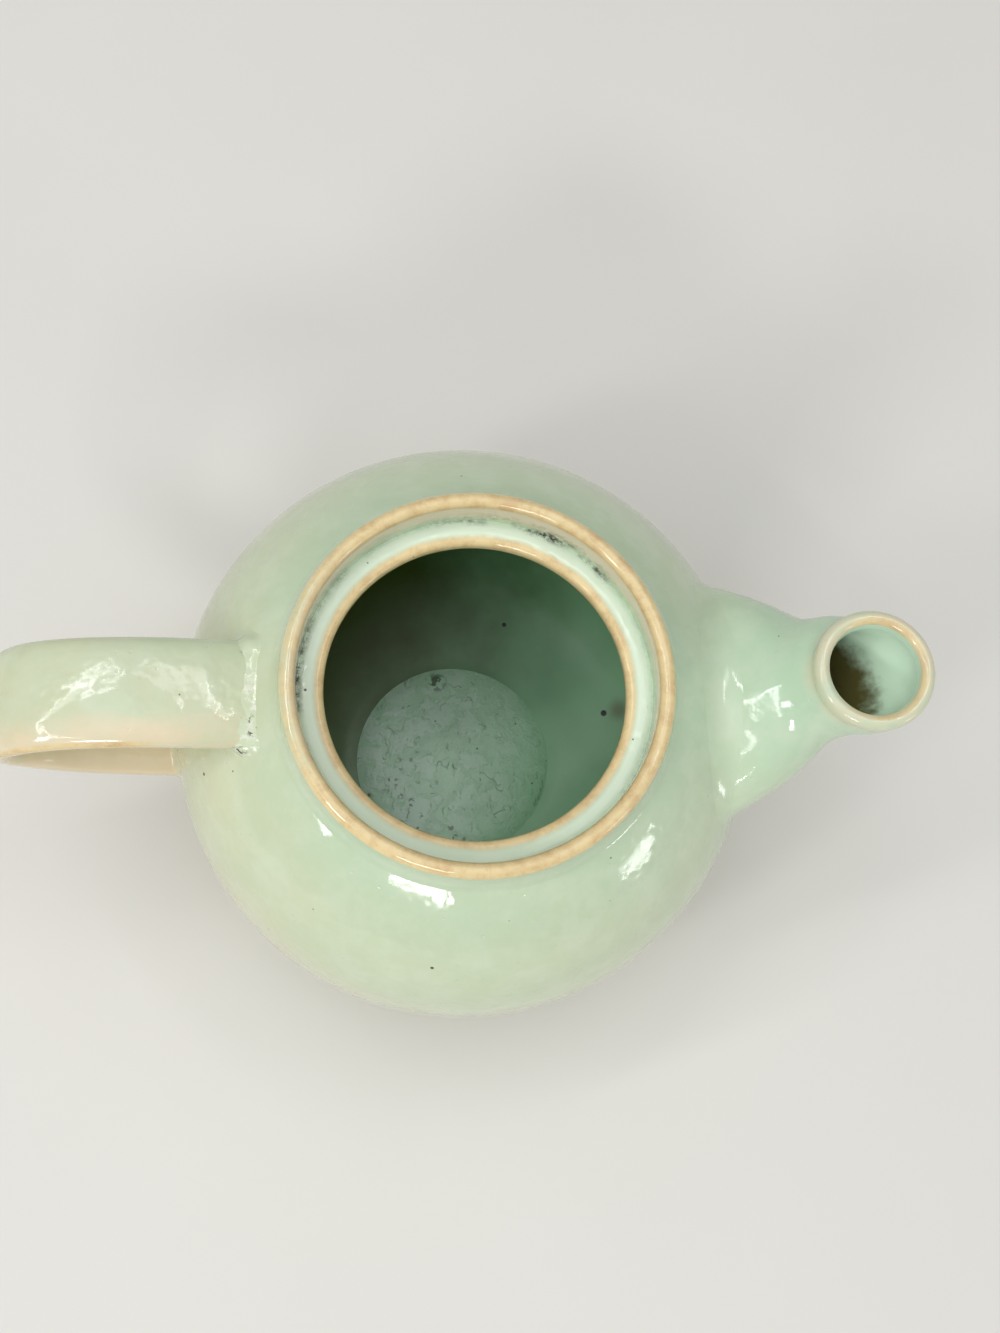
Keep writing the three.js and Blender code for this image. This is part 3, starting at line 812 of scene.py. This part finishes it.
def ledge_milk_and_painted_light(point):
    """Milky glaze on the flat ledge, lightened with painted light, both less near the front."""
    # Painted light: the ledge is lightened most towards the back, round azimuth 75 degrees, and least
    # at the front.
    turn = abs((azimuth_of(point) - 75 + 180) % 360 - 180)
    return rise_between(radius_of(point), 33.2, 34.6) * (1 - 0.6 * rise_between(turn, 95, 175))


def opening_thin(point):
    return 1 - rise_between(radius_of(point), 32.8, 34.1)


def groove_dirt(point):
    """Dirt in the groove behind the ledge: darkest towards the handle and at the back."""
    if radius_of(point) > 39:
        return 0
    turn = azimuth_of(point) % 360
    left = 0.35 * rise_between(turn, 125, 140) + 0.65 * rise_between(turn, 152, 168)
    left *= 1 - rise_between(turn, 192, 206)
    back = rise_between(turn, 34, 46) * (1 - rise_between(turn, 70, 118))
    front = 0.12
    across = rise_between(radius_of(point), 36.3, 37.1) * (1 - rise_between(point.z, 82.6, 85.6))
    return across * max(left, back, front)


mark(mouth_collar, "thin", crest_thin)
mark(mouth_collar, "blush_and_painted_light", collar_blush)
mark(mouth_collar, "dirt", groove_dirt)
mark(lid_seat, "thin", opening_thin)
mark(lid_seat, "dirt", groove_dirt)
mark(lid_seat, "milk_and_painted_light", ledge_milk_and_painted_light)

# %% [markdown]
# The spout's lip lost some glaze too, most of all on the side away from the pot, and the pinkish
# clay shows through it. The blush runs on down the neck, so the spout gets the same rule as the
# lip, and no seam of colour shows between the two pieces.

# %% Marks on the spout
def lip_thin(point):
    """A thin ring on the spout's lip, wider and stronger on the side away from the pot."""
    across = math.hypot(point.x - MOUTH_REACH, point.y)
    far_side = rise_between(point.x - MOUTH_REACH + 0.5 * abs(point.y), -6, 8)
    width = 10.2 + 0.6 * far_side
    ring = rise_between(point.z, 90.4, 91.4) * (1 - rise_between(across, width, width + 1.2))
    return (0.27 + 0.36 * far_side) * ring


def lip_blush(point):
    """Fades down the lip and on over the neck, a little further on the side towards the pot."""
    return 0.65 * rise_between(point.z + 0.06 * (MOUTH_REACH - point.x), 86, 91)


mark(rolled_lip, "thin", lip_thin)
mark(rolled_lip, "blush_and_painted_light", lip_blush)
mark(pouring_spout, "blush_and_painted_light", lip_blush)

# %% [markdown]
# On the strap the marks follow its length and its width, so the nearest point of its middle line
# is looked up first. One edge is tan, the lower run is pink and partly lightened with painted light,
# and the ridge of clay pressed up at the upper joint carries a painted highlight.

# %% Marks on the strap and its clay
def nearest_share(point):
    flat = Vector((point.x, 0, point.z))
    near = min(range(0, len(path), 4), key=lambda i: (path[i] - flat).length_squared)
    return run[near] / run[-1]


def strap_thin(point):
    """The strap's two edges, one of them more, as it lay tilted in the kiln."""
    share = nearest_share(point)
    across = (point.y - STRAP_LEAN * (1 - share)) / strap_half_width(share)
    side = 0.8 if across < 0 else 0.25
    along = rise_between(share, 0.12, 0.24) * (1 - 0.8 * rise_between(share, 0.55, 0.7))
    return side * along * rise_between(abs(across), 0.88, 0.98)


def strap_blush_and_painted_light(point):
    """Pinkish glaze along one side of the upper run, and over the whole lower run pink glaze that is
    partly painted light.
    """
    share = nearest_share(point)
    across = point.y / strap_half_width(share)
    upper = 0.8 - 0.8 * rise_between(across, -1.1, 0.2)
    # Painted light: the pale pink over the whole lower run lightens it where it lies in shade.
    lower = rise_between(share, 0.5, 0.72)
    return max(upper, lower)


def bead_painted_highlight(point):
    """The roll round the upper joint carries a painted highlight where it was pressed up into a ridge.
    """
    return rise_between(-point.y, -8, 2) * rise_between(point.z, 78.5, 80.5)


def low_joint_blush_and_painted_light(point):
    """The lower run's pink, partly painted light, runs out over the lower roll of clay."""
    return 0.9 * rise_between(skin(point)[0], -0.2, 2.2)


mark(strap_handle, "thin", strap_thin)
mark(strap_handle, "blush_and_painted_light", strap_blush_and_painted_light)
mark(upper_luting, "painted_highlight", bead_painted_highlight)
mark(lower_luting, "blush_and_painted_light", low_joint_blush_and_painted_light)

# %% [markdown]
# Shader maths reads best as plain sums. This class wraps one socket of a node, so that Python's
# own operators add the Math nodes. Nodes of any other kind come from one method, add.

# %% Shader values
class Value:
    def __init__(self, finish, socket):
        self.finish = finish
        self.socket = socket

    def calc(self, operation, first, second):
        return self.finish.add("Math", {"operation": operation}, {0: first, 1: second})

    def __add__(self, other):
        return self.calc("ADD", self, other)

    def __sub__(self, other):
        return self.calc("SUBTRACT", self, other)

    def __rsub__(self, other):
        return self.calc("SUBTRACT", other, self)

    def __mul__(self, other):
        return self.calc("MULTIPLY", self, other)

    def __truediv__(self, other):
        return self.calc("DIVIDE", self, other)

    def __pow__(self, other):
        return self.calc("POWER", self, other)

    def over(self, other):
        return self.calc("MAXIMUM", self, other)

    def between(self, low, high):
        """0 below low, 1 above high, and a soft rise between them."""
        steps = {1: low, 2: high, 3: 0.0, 4: 1.0}
        return self.finish.add("MapRange", {"interpolation_type": "SMOOTHSTEP"}, {0: self, **steps})

    __radd__ = __add__
    __rmul__ = __mul__


print("shader values ready")

# %% [markdown]
# A finish is a material that is built up from nodes. It reads Object coordinates in millimetres,
# so a cloud or a speck can be given its real size, and it has that size on every piece. A picture
# wrapped round the pot would need a UV map on each piece, and its seams would show.

# %% Finishes built from nodes
def linear(red, green, blue):
    """A colour as seen on a screen, 0 to 255, turned into the light that it stands for."""
    parts = [c / 255 for c in (red, green, blue)]
    return tuple(c / 12.92 if c <= 0.04045 else ((c + 0.055) / 1.055) ** 2.4 for c in parts) + (1.0,)


class Nodes:
    """A node tree that nodes are added to."""

    def __init__(self, tree):
        self.tree = tree

    def add(self, kind, settings, inputs, output=0):
        node = self.tree.nodes.new("ShaderNode" + kind)
        for key, setting in settings.items():
            setattr(node, key, setting)
        for key, value in inputs.items():
            if isinstance(value, Value):
                self.tree.links.new(value.socket, node.inputs[key])
            else:
                node.inputs[key].default_value = value
        return Value(self, node.outputs[output])


class Finish(Nodes):
    """A material that is built up from nodes."""

    def __init__(self, name):
        self.material = bpy.data.materials.new(name)
        self.material.use_nodes = True
        super().__init__(self.material.node_tree)
        self.shader = self.tree.nodes["Principled BSDF"]
        self.place = self.add(
            "VectorMath",
            {"operation": "SCALE"},
            {0: self.add("TexCoord", {}, {}, "Object"), "Scale": 1 / MM},
        )
        self.x, self.y, self.z = (self.add("SeparateXYZ", {}, {0: self.place}, i) for i in range(3))

    def noise(self, size, detail=3, roughness=0.5, stretch=(1, 1, 1), shift=0):
        """Cloudy noise from 0 to 1 whose blobs are about `size` millimetres."""
        moved = self.add("Mapping", {}, {0: self.place, 1: (shift, shift, shift), 3: stretch})
        steps = {"Scale": 1 / size, "Detail": detail, "Roughness": roughness}
        return self.add("TexNoise", {}, {"Vector": moved, **steps})

    def mix(self, factor, first, second):
        return self.add("Mix", {"data_type": "RGBA"}, {0: factor, 6: first, 7: second}, 2)

    def mark(self, name):
        return self.add("Attribute", {"attribute_name": name}, {}, "Fac")

    def spot(self, place, radius, soft=0.5):
        """1 within `radius` millimetres of a place, 0 further out."""
        far = self.add("VectorMath", {"operation": "DISTANCE"}, {0: self.place, 1: place}, "Value")
        return 1 - far.between(radius * (1 - soft), radius)

    def bump(self, height, depth, under=None):
        links = {"Height": height, "Distance": depth * MM, "Strength": 1.0}
        if under is not None:
            links["Normal"] = under
        return self.add("Bump", {}, links)

    def set(self, **sockets):
        for name, value in sockets.items():
            socket = self.shader.inputs[name.replace("_", " ")]
            if isinstance(value, Value):
                self.tree.links.new(value.socket, socket)
            else:
                socket.default_value = value


print("finishes ready")

# %% [markdown]
# The celadon itself is a pale grey-green, cooler and bluer at the spout, where it lies thick, and
# up on the shoulder, partly as painted light. It is creamier towards the foot and the handle, on the
# handle's side partly as painted shade, and faintly pink round the belly where it ran thin. Colours
# are written as they look on a screen. The single specks, and the scars round the handle's upper
# joint, are given by place and radius.

# %% Celadon colours
CELADON = linear(198, 211, 178)
CELADON_COOL = linear(188, 214, 184)
CELADON_WARM = linear(211, 212, 176)
CELADON_PALE = linear(216, 226, 202)
CELADON_PINK = linear(204, 178, 150)
THIN_TAN = linear(232, 210, 158)
THIN_BROWN = linear(206, 172, 120)
BLUSH_AND_PAINTED_LIGHT = linear(238, 213, 180)
PAINTED_HIGHLIGHT_WHITE = linear(232, 234, 220)
MILKY_AND_PAINTED_LIGHT = linear(232, 248, 228)
IRON = linear(70, 58, 38)
DIRT = linear(62, 56, 40)
SPECKS = [(-57.2, -13.9, 68, 0.5), (-10.6, -56.2, 70.7, 0.5), (-35.5, 0.5, 81.8, 0.4)]
SCARS = [(-47.3, -5.4, 81.8, 1.8), (-46.3, -8, 81.8, 1.6), (-48.3, 8.8, 80.3, 2.2), (-49, -11.8, 80, 2)]
print(len(SPECKS), "single specks and", len(SCARS), "scars")

# %% [markdown]
# Iron specks are small discs in some of the cells of a Voronoi texture, picked by each cell's own
# random colour. The highlights break up mostly because the glaze is gently wavy, so the relief is
# broad waves and finger-sized dimples, with pits and a fine ripple over them. It is bump, because
# it is too shallow to show at the pot's outline.

# %% Specks and relief
def iron_specks(finish, cell, radius, share):
    """Small round specks, here and there, in cells of `cell` millimetres."""
    cells = {"Vector": finish.place, "Scale": 1 / cell, "Randomness": 1.0}
    distance = finish.add("TexVoronoi", {}, cells, "Distance") * cell
    tint = finish.add("TexVoronoi", {}, cells, "Color")
    chosen = finish.add("SeparateColor", {}, {0: tint}, 0).between(1 - share, 1 - share + 0.01)
    return (1 - distance.between(radius * 0.5, radius)) * chosen


def glaze_surface(finish, wave, dimple):
    """The glaze's own relief: broad waves, finger-sized dimples, pits and a fine ripple."""
    waves = finish.bump(finish.noise(17, detail=1), wave)
    waves = finish.bump(finish.noise(6.5, detail=2, shift=25), dimple, waves)
    pits = finish.bump(1 - iron_specks(finish, 2.6, 0.4, 0.35), 0.05, waves)
    return finish.bump(finish.noise(2.8, detail=2), 0.036, pits)


print("specks and relief ready")

# %% [markdown]
# The green drifts in clouds, partly painted light up high and partly painted shade towards the
# handle. Over it lie the blush and the milky ledge, both partly painted light, the painted highlight
# and the tan edges that were marked on the pieces, and then the dirt, the specks and the scars.
# Noise roughens each of them where it fades, so that no edge looks ruled. Mix nodes lay one colour
# over the last.

# %% Layers of the celadon
def clouded_green(finish):
    """Cooler up high, partly as painted light, and at the spout; warmer lower down and at the handle,
    partly as painted shade; with a pink belly.
    """
    clouds = finish.noise(34, detail=3, roughness=0.6)
    # Painted light and shade: the cool tint rises with height, and the warm tint grows towards the
    # handle's side.
    cool_and_painted_light = finish.z.between(66, 86) * 0.5 + finish.x.between(30, 70) * 0.4 + (clouds - 0.5) * 0.9
    warm_and_painted_shade = (1 - finish.z.between(30, 66)) * 0.7 + (1 - finish.x.between(-60, -10)) * 0.5
    warm = warm_and_painted_shade + (finish.noise(26, shift=40) - 0.5) * 0.9
    colour = finish.mix(cool_and_painted_light.between(0, 1), CELADON, CELADON_COOL)
    colour = finish.mix(warm.between(0, 1), colour, CELADON_WARM)
    mottle = finish.noise(8, detail=5, roughness=0.65, shift=110).between(0.4, 0.66)
    colour = finish.mix(mottle * 0.3, colour, CELADON_PALE)
    belly = (1 - ((finish.z - 40) * (finish.z - 40) / 90).between(0, 1)) * 0.34
    return finish.mix(belly * finish.noise(30, shift=70).between(0.25, 0.7), colour, CELADON_PINK)


def marked_places(finish, colour):
    """The blush and the milky ledge, both partly painted light, the painted highlight on the ridge and
    the tan edges, each with its own ragged edge.
    """
    patches = finish.noise(9, detail=5, roughness=0.65, stretch=(0.45, 1, 1), shift=90) - 0.5
    # On the strap's lower run and its roll of clay the blush is partly painted light.
    blush_and_painted_light = finish.mark("blush_and_painted_light")
    blush_and_painted_light = (blush_and_painted_light + patches * 1.5 * blush_and_painted_light.between(0, 0.3)).between(0.1, 1)
    colour = finish.mix(blush_and_painted_light * 0.7, colour, BLUSH_AND_PAINTED_LIGHT)
    # The milky ledge is partly painted light.
    colour = finish.mix(finish.mark("milk_and_painted_light") * 0.8, colour, MILKY_AND_PAINTED_LIGHT)
    # Painted highlight: the pressed-up ridge at the upper joint is whitened in broken streaks.
    painted_highlight = finish.mark("painted_highlight") * finish.noise(2, detail=5, roughness=0.6, shift=60).between(0.5, 0.6)
    painted_highlight = painted_highlight * finish.noise(5, detail=2, shift=21).between(0.4, 0.6)
    colour = finish.mix(painted_highlight * 0.8, colour, PAINTED_HIGHLIGHT_WHITE)
    thin = finish.mark("thin")
    ragged = (finish.noise(6, detail=4, roughness=0.6) - 0.5) * 0.6 * thin.between(0, 0.3)
    browner = finish.noise(4.5, detail=6, roughness=0.7).between(0.4, 0.7)
    tan = finish.mix(browner * 0.75, THIN_TAN, THIN_BROWN)
    return finish.mix((thin + ragged).between(0.1, 0.85), colour, tan)


def groove_grime(finish):
    """How much dirt shows: the marked groove, broken up by a fine and a coarse noise."""
    dirt = finish.mark("dirt") * finish.noise(1.5, detail=5, roughness=0.8).between(0.42, 0.56)
    return dirt * finish.noise(7, detail=2, shift=33).between(0.34, 0.56)


def specks_and_scars(finish):
    specks = iron_specks(finish, 5.5, 0.3, 0.3) * 0.75
    for x, y, z, size in SPECKS:
        specks = specks.over(finish.spot((x, y, z), size))
    crumbs = finish.noise(1.3, detail=4, roughness=0.7, shift=8).between(0.5, 0.58)
    for x, y, z, size in SCARS:
        specks = specks.over(finish.spot((x, y, z), size, soft=0.7) * crumbs)
    return specks


print("layers ready")

# %% [markdown]
# One recipe makes three finishes. They differ in their relief: it is strong on the thrown body,
# faint on the smooth spout, and strongest on the pulled strap, whose glaze is a little duller too.
# Roughness adds a few dull patches, and a thin clear coat keeps the highlights sharp.

# %% Celadon glaze
def celadon_glaze(name, wave, dimple, dullness=0.08, coat=0.25):
    """Wave and dimple are the depths of the relief in millimetres."""
    finish = Finish(name)
    colour = marked_places(finish, clouded_green(finish))
    dirt = groove_grime(finish)
    colour = finish.mix(dirt * 0.95, colour, DIRT)
    colour = finish.mix(specks_and_scars(finish), colour, IRON)
    surface = glaze_surface(finish, wave, dimple)
    dull = finish.noise(5, detail=6, roughness=0.75, shift=51).between(0.46, 0.62) * 0.09
    finish.set(Base_Color=colour, Roughness=dirt * 0.5 + dull + dullness, Normal=surface)
    finish.set(IOR=1.52, Coat_Weight=coat, Coat_Roughness=0.03)
    return finish.material


THROWN_FINISH = celadon_glaze("celadon_on_thrown_clay", wave=0.5, dimple=0.32)
SPOUT_FINISH = celadon_glaze("celadon_on_the_spout", wave=0.15, dimple=0.07)
PULLED_FINISH = celadon_glaze("celadon_on_pulled_clay", wave=0.5, dimple=0.4, dullness=0.1, coat=0.22)
for material in (THROWN_FINISH, SPOUT_FINISH, PULLED_FINISH):
    print("made", material.name, "with", len(material.node_tree.nodes), "nodes")

# %% [markdown]
# Inside, the glaze is dark green, with painted shade that darkens it towards the handle and the back.
# It has a few pinholes, a brown stain, and faint rings left by the potter's fingers, which are noise
# stretched round the pot.

# %% Inner glaze
PINHOLES = [(14.2, 34.5, 11.7, 0.75), (38.4, 10.4, 12.8, 0.95)]
STAIN = (42.1, 10.7, 14.5)
INNER_GREEN = linear(156, 208, 164)
INNER_PAINTED_SHADE = linear(74, 90, 36)
INNER_BROWN = linear(112, 96, 66)
PINHOLE_BLACK = linear(20, 24, 14)


def inner_glaze():
    finish = Finish("inner_glaze")
    # Painted shade: darker towards the handle and the back, with cloudy noise in it.
    painted_shade = 1 - finish.x.between(-50, 30) + finish.y.between(0, 55) * 0.4
    painted_shade = painted_shade + (finish.noise(24, detail=4) - 0.5)
    colour = finish.mix(painted_shade.between(0, 1), INNER_GREEN, INNER_PAINTED_SHADE)
    stain = finish.spot(STAIN, 4, soft=0.9) * 0.6
    colour = finish.mix(stain, colour, INNER_BROWN)
    holes = iron_specks(finish, 7, 0.35, 0.2) * 0.5
    for x, y, z, size in PINHOLES:
        holes = holes.over(finish.spot((x, y, z), size, soft=0.3))
    colour = finish.mix(holes, colour, PINHOLE_BLACK)
    rings = finish.bump(finish.noise(9, detail=1, stretch=(0.15, 0.15, 1.6)), 0.35)
    relief = finish.bump(finish.noise(15, detail=1), 0.25, rings)
    finish.set(Base_Color=colour, Roughness=0.28, Normal=relief)
    finish.set(IOR=1.52, Specular_IOR_Level=0.25)
    return finish.material


INNER_FINISH = inner_glaze()
print("made", INNER_FINISH.name)

# %% [markdown]
# On the floor the glaze has pooled into a paler disc, mottled, scratched and specked, which fades
# into the wall's green on one side. Its pale colour and paler islands are partly pooled glaze and
# partly painted reflection of the light from above. Its curls are relief only, because they show by
# how they catch the light and not by their colour.

# %% Pooled glaze
CRACK = (-3.6, 20.4, 8.5)
POOL_PALE_AND_PAINTED_REFLECTION = linear(212, 240, 218)
POOL_GREEN_AND_PAINTED_REFLECTION = linear(198, 234, 204)
POOL_DARK = linear(92, 108, 88)


def pooled_glaze():
    finish = Finish("pooled_glaze")
    # Partly painted reflection: the pale disc and its paler islands stand for light from above mirrored
    # in the pool.
    mottle = finish.noise(7, detail=6, roughness=0.65)
    islands_and_painted_reflection = mottle.between(0.44, 0.55)
    colour = finish.mix(islands_and_painted_reflection, POOL_GREEN_AND_PAINTED_REFLECTION, POOL_PALE_AND_PAINTED_REFLECTION)
    toward_right = (finish.x - finish.y * 0.5 + mottle * 12).between(4, 34)
    colour = finish.mix(toward_right * 0.7, colour, INNER_GREEN)
    streaks = finish.noise(3, detail=5, roughness=0.7, stretch=(1, 0.3, 1), shift=13).between(0.6, 0.68)
    colour = finish.mix(streaks * 0.45, colour, POOL_DARK)
    crack = finish.spot(CRACK, 3.4, soft=0.6) * finish.noise(2, detail=4, shift=5).between(0.5, 0.56)
    gathered = 1 - (finish.x + finish.y).between(-26, 6)
    broken = finish.noise(1.1, detail=4, shift=77).between(0.48, 0.56)
    flakes = iron_specks(finish, 2.6, 0.95, 0.6) * broken
    specks = iron_specks(finish, 3.4, 0.35, 0.3).over(flakes * gathered)
    colour = finish.mix(specks.over(crack) * 0.85, colour, POOL_DARK)
    contour = finish.noise(5.5, detail=3, shift=44)
    curls = contour.between(0.478, 0.494) - contour.between(0.5, 0.516)
    curls = curls * finish.noise(4, detail=2, shift=19).between(0.57, 0.64)
    relief = finish.bump(islands_and_painted_reflection, 0.06, finish.bump(mottle, 0.6))
    relief = finish.bump(curls, 0.2, relief)
    finish.set(Base_Color=colour, Roughness=0.12 + mottle * 0.3, Normal=relief)
    finish.set(IOR=1.5)
    return finish.material


POOL_FINISH = pooled_glaze()
print("made", POOL_FINISH.name)

# %% [markdown]
# The spout's channel is pale green under the lip, and darker and browner further down: partly a
# stain of old tea, partly painted shade deep in the channel. How deep a place lies, and how near
# the pot, is added up, and noise frays the stain's edge.

# %% The channel's glaze
BORE_GREEN = linear(214, 240, 214)
BORE_STAIN_AND_SHADE = linear(100, 94, 54)


def bore_glaze():
    finish = Finish("bore_glaze")
    toward_pot = (MOUTH_REACH - finish.x - finish.y * 0.6) / 10
    depth = (NECK_TOP - finish.z) / 12
    # Partly tea stain and partly painted shade: darker deeper down and towards the pot.
    stain = depth + toward_pot * 0.5 + (finish.noise(4, detail=4, roughness=0.6) - 0.5) * 0.9
    colour = finish.mix(stain.between(0.35, 1.0), BORE_GREEN, BORE_STAIN_AND_SHADE)
    finish.set(Base_Color=colour, Roughness=0.12, Normal=glaze_surface(finish, 0.3, 0.2))
    finish.set(IOR=1.52)
    return finish.material


BORE_FINISH = bore_glaze()
print("made", BORE_FINISH.name)

# %% [markdown]
# The foot is wiped clean of glaze before the firing, so that the pot doesn't stick to the shelf.
# It shows the bare clay: buff, matt, gritty, and a little darker where it was handled.

# %% Bare clay
CLAY_BUFF = linear(186, 158, 124)
CLAY_DARK = linear(150, 116, 82)


def bare_clay():
    finish = Finish("bare_clay")
    grain = finish.noise(1.1, detail=5, roughness=0.8)
    colour = finish.mix(finish.noise(14, detail=4).between(0.3, 0.7), CLAY_BUFF, CLAY_DARK)
    colour = finish.mix(iron_specks(finish, 2, 0.3, 0.4), colour, IRON)
    turning = finish.bump(finish.noise(2.4, detail=2, stretch=(0.1, 0.1, 1)), 0.12)
    relief = finish.bump(grain, 0.09, turning)
    finish.set(Base_Color=colour, Roughness=0.78 + grain * 0.15, Normal=relief)
    return finish.material


CLAY_FINISH = bare_clay()
print("made", CLAY_FINISH.name)

# %% [markdown]
# The body carries three finishes: celadon outside, dark glaze inside, and bare clay underneath.
# The spout and its lip carry two. One wall has them all, so the faces are sorted by their place.

# %% Dressing the pieces
def dress(piece, node, slot, *materials):
    piece.data.materials.clear()
    for material in materials:
        piece.data.materials.append(material)
    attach(piece, "root")
    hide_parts(node)


dress(thrown_body, "body", "celadon_glaze", THROWN_FINISH, INNER_FINISH, CLAY_FINISH)
dress(trimmed_foot, "foot_ring", "bare_clay", CLAY_FINISH)
dress(floor_glaze, "glaze_pool", "pooled_glaze", POOL_FINISH)
dress(lid_seat, "lid_ledge", "celadon_glaze", THROWN_FINISH)
dress(mouth_collar, "collar", "thin_glaze", THROWN_FINISH)
dress(pouring_spout, "spout", "celadon_glaze", SPOUT_FINISH, BORE_FINISH)
dress(rolled_lip, "spout_lip", "thin_glaze", SPOUT_FINISH, BORE_FINISH)
dress(spout_luting, "spout_join", "celadon_glaze", SPOUT_FINISH)
dress(pierced_strainer, "strainer", "pooled_glaze", INNER_FINISH)
dress(strap_handle, "handle", "celadon_glaze", PULLED_FINISH)
dress(upper_luting, "handle_upper_join", "celadon_glaze", PULLED_FINISH)
dress(lower_luting, "handle_lower_join", "celadon_glaze", PULLED_FINISH)

BORE = 1
for face in pouring_spout.data.polygons:
    place = face.center / MM
    share = min(max((place.x - SPOUT_START[0]) / (MOUTH_REACH - SPOUT_START[0]), 0), 1)
    middle = (spout_point(share, 0) + spout_point(share, math.pi)) / 2
    if (place - middle).dot(face.normal) < 0:
        face.material_index = BORE
for face in rolled_lip.data.polygons:
    place = face.center / MM
    across = math.hypot(place.x - MOUTH_REACH, place.y)
    if across < LIP_BORE_RADIUS + 0.1 and place.z < MOUTH_HEIGHT - 1:
        face.material_index = BORE

INSIDE, UNDERNEATH = 1, 2
WIPED_TO = 4.4
for face in thrown_body.data.polygons:
    place = face.center / MM
    if skin(place)[0] < -WALL / 2 and place.z > BASE + 1:
        face.material_index = INSIDE
    elif place.z < WIPED_TO:
        face.material_index = UNDERNEATH

# %% [markdown]
# The pot stands on a plain pale floor under an even sky that is brighter overhead. The sky's light
# is a sum of nodes on how high each direction points, so there is no picture in it.

# %% Floor and sky
bpy.ops.object.select_all(action="DESELECT")
bpy.ops.mesh.primitive_plane_add(size=6, location=(0, 0, 0))
floor = bpy.context.object
floor.name = "floor"
floor_finish = Finish("pale_floor")
floor_finish.set(
    Base_Color=floor_finish.mix(floor_finish.noise(60), linear(222, 220, 214), linear(226, 224, 219)),
    Roughness=0.9,
)
floor.data.materials.append(floor_finish.material)

SKY_TINT = (0.98, 0.99, 1, 1)
SKY_LOW = 0.275
SKY_OVERHEAD = 1.3
world = bpy.data.worlds.new("sky")
bpy.context.scene.world = world
world.use_nodes = True
sky = Nodes(world.node_tree)
height_in_sky = sky.add("SeparateXYZ", {}, {0: sky.add("TexCoord", {}, {}, "Generated")}, 2).over(0.0)
background = world.node_tree.nodes["Background"]
background.inputs["Color"].default_value = SKY_TINT
strength = height_in_sky**6 * SKY_OVERHEAD + SKY_LOW
world.node_tree.links.new(strength.socket, background.inputs["Strength"])
print(floor.name, "and", world.name, "ready")

# %% [markdown]
# Soft lamps stand for the windows of a room. Three low ones give the reflections on the shoulder.
# Two long high ones and the roof lights give the streaks on the spout and the strap. Each stands
# where a mirror on the glaze would have to see it. A picture of a room would do the same, but not
# from measured directions.

# %% Lamps
MIDDLE_OF_POT = Vector((0, 0, 0.06))


def window(name, azimuth, elevation, distance, width, height, power, roll=0):
    """A soft lamp at a direction from the pot, facing it. Its roll turns it like a picture.
    Angles are in degrees, lengths in metres and the power in watts."""
    turn, lift = math.radians(azimuth), math.radians(elevation)
    toward = Vector((math.cos(turn) * math.cos(lift), math.sin(turn) * math.cos(lift), math.sin(lift)))
    bpy.ops.object.light_add(type="AREA", location=toward * distance + MIDDLE_OF_POT)
    lamp = bpy.context.object
    lamp.name = name
    facing = toward.to_track_quat("Z", "Y") @ Quaternion((0, 0, 1), math.radians(roll))
    lamp.rotation_euler = facing.to_euler()
    lamp.data.shape = "RECTANGLE"
    lamp.data.size = width
    lamp.data.size_y = height
    lamp.data.energy = power
    print(name, "placed")


window("window_left", -148, 38, 1.3, 0.16, 0.3, 2.0)
window("window_front", -108, 33, 1.3, 0.4, 0.13, 3.7)
window("window_right", -35, 12, 1.4, 0.32, 0.18, 1.5)
window("high_window_left", 165, 56, 1.3, 0.79, 0.06, 1.4, roll=-50)
window("high_window_near", -157, 48, 1.3, 0.88, 0.05, 1.5, roll=12)
window("roof_light_left", 123, 69, 1.5, 0.42, 0.06, 0.7)
window("roof_light_far", 56, 67, 1.46, 0.42, 0.16, 0.55)
window("roof_light_right", 24, 66, 1.47, 0.34, 0.06, 0.5)

# %% [markdown]
# The camera looks steeply down from in front of the pot and a little from its left, as the
# photograph was taken. Its place was solved from the circles of the mouth, collar and belly.

# %% Camera
CAMERA_PLACE = Vector((-29.651, -81.471, 404.216))
CAMERA_RIGHT = Vector((0.99444, -0.04475, 0.09529))
CAMERA_UP = Vector((0.01852, 0.96542, 0.26005))
CAMERA_BACK = Vector((-0.10363, -0.25684, 0.96088))
SENSOR_WIDTH = 36
FOCAL_LENGTH = 43.21
bpy.ops.object.camera_add()
camera = bpy.context.object
camera_turn = Matrix((CAMERA_RIGHT, CAMERA_UP, CAMERA_BACK)).transposed().to_4x4()
camera.matrix_world = Matrix.Translation(CAMERA_PLACE * MM) @ camera_turn
camera.data.sensor_width = SENSOR_WIDTH
camera.data.lens = FOCAL_LENGTH
bpy.context.scene.camera = camera
bpy.context.scene.view_settings.view_transform = "Standard"
print("camera", [round(c / MM) for c in camera.location], "mm from the pot's foot")
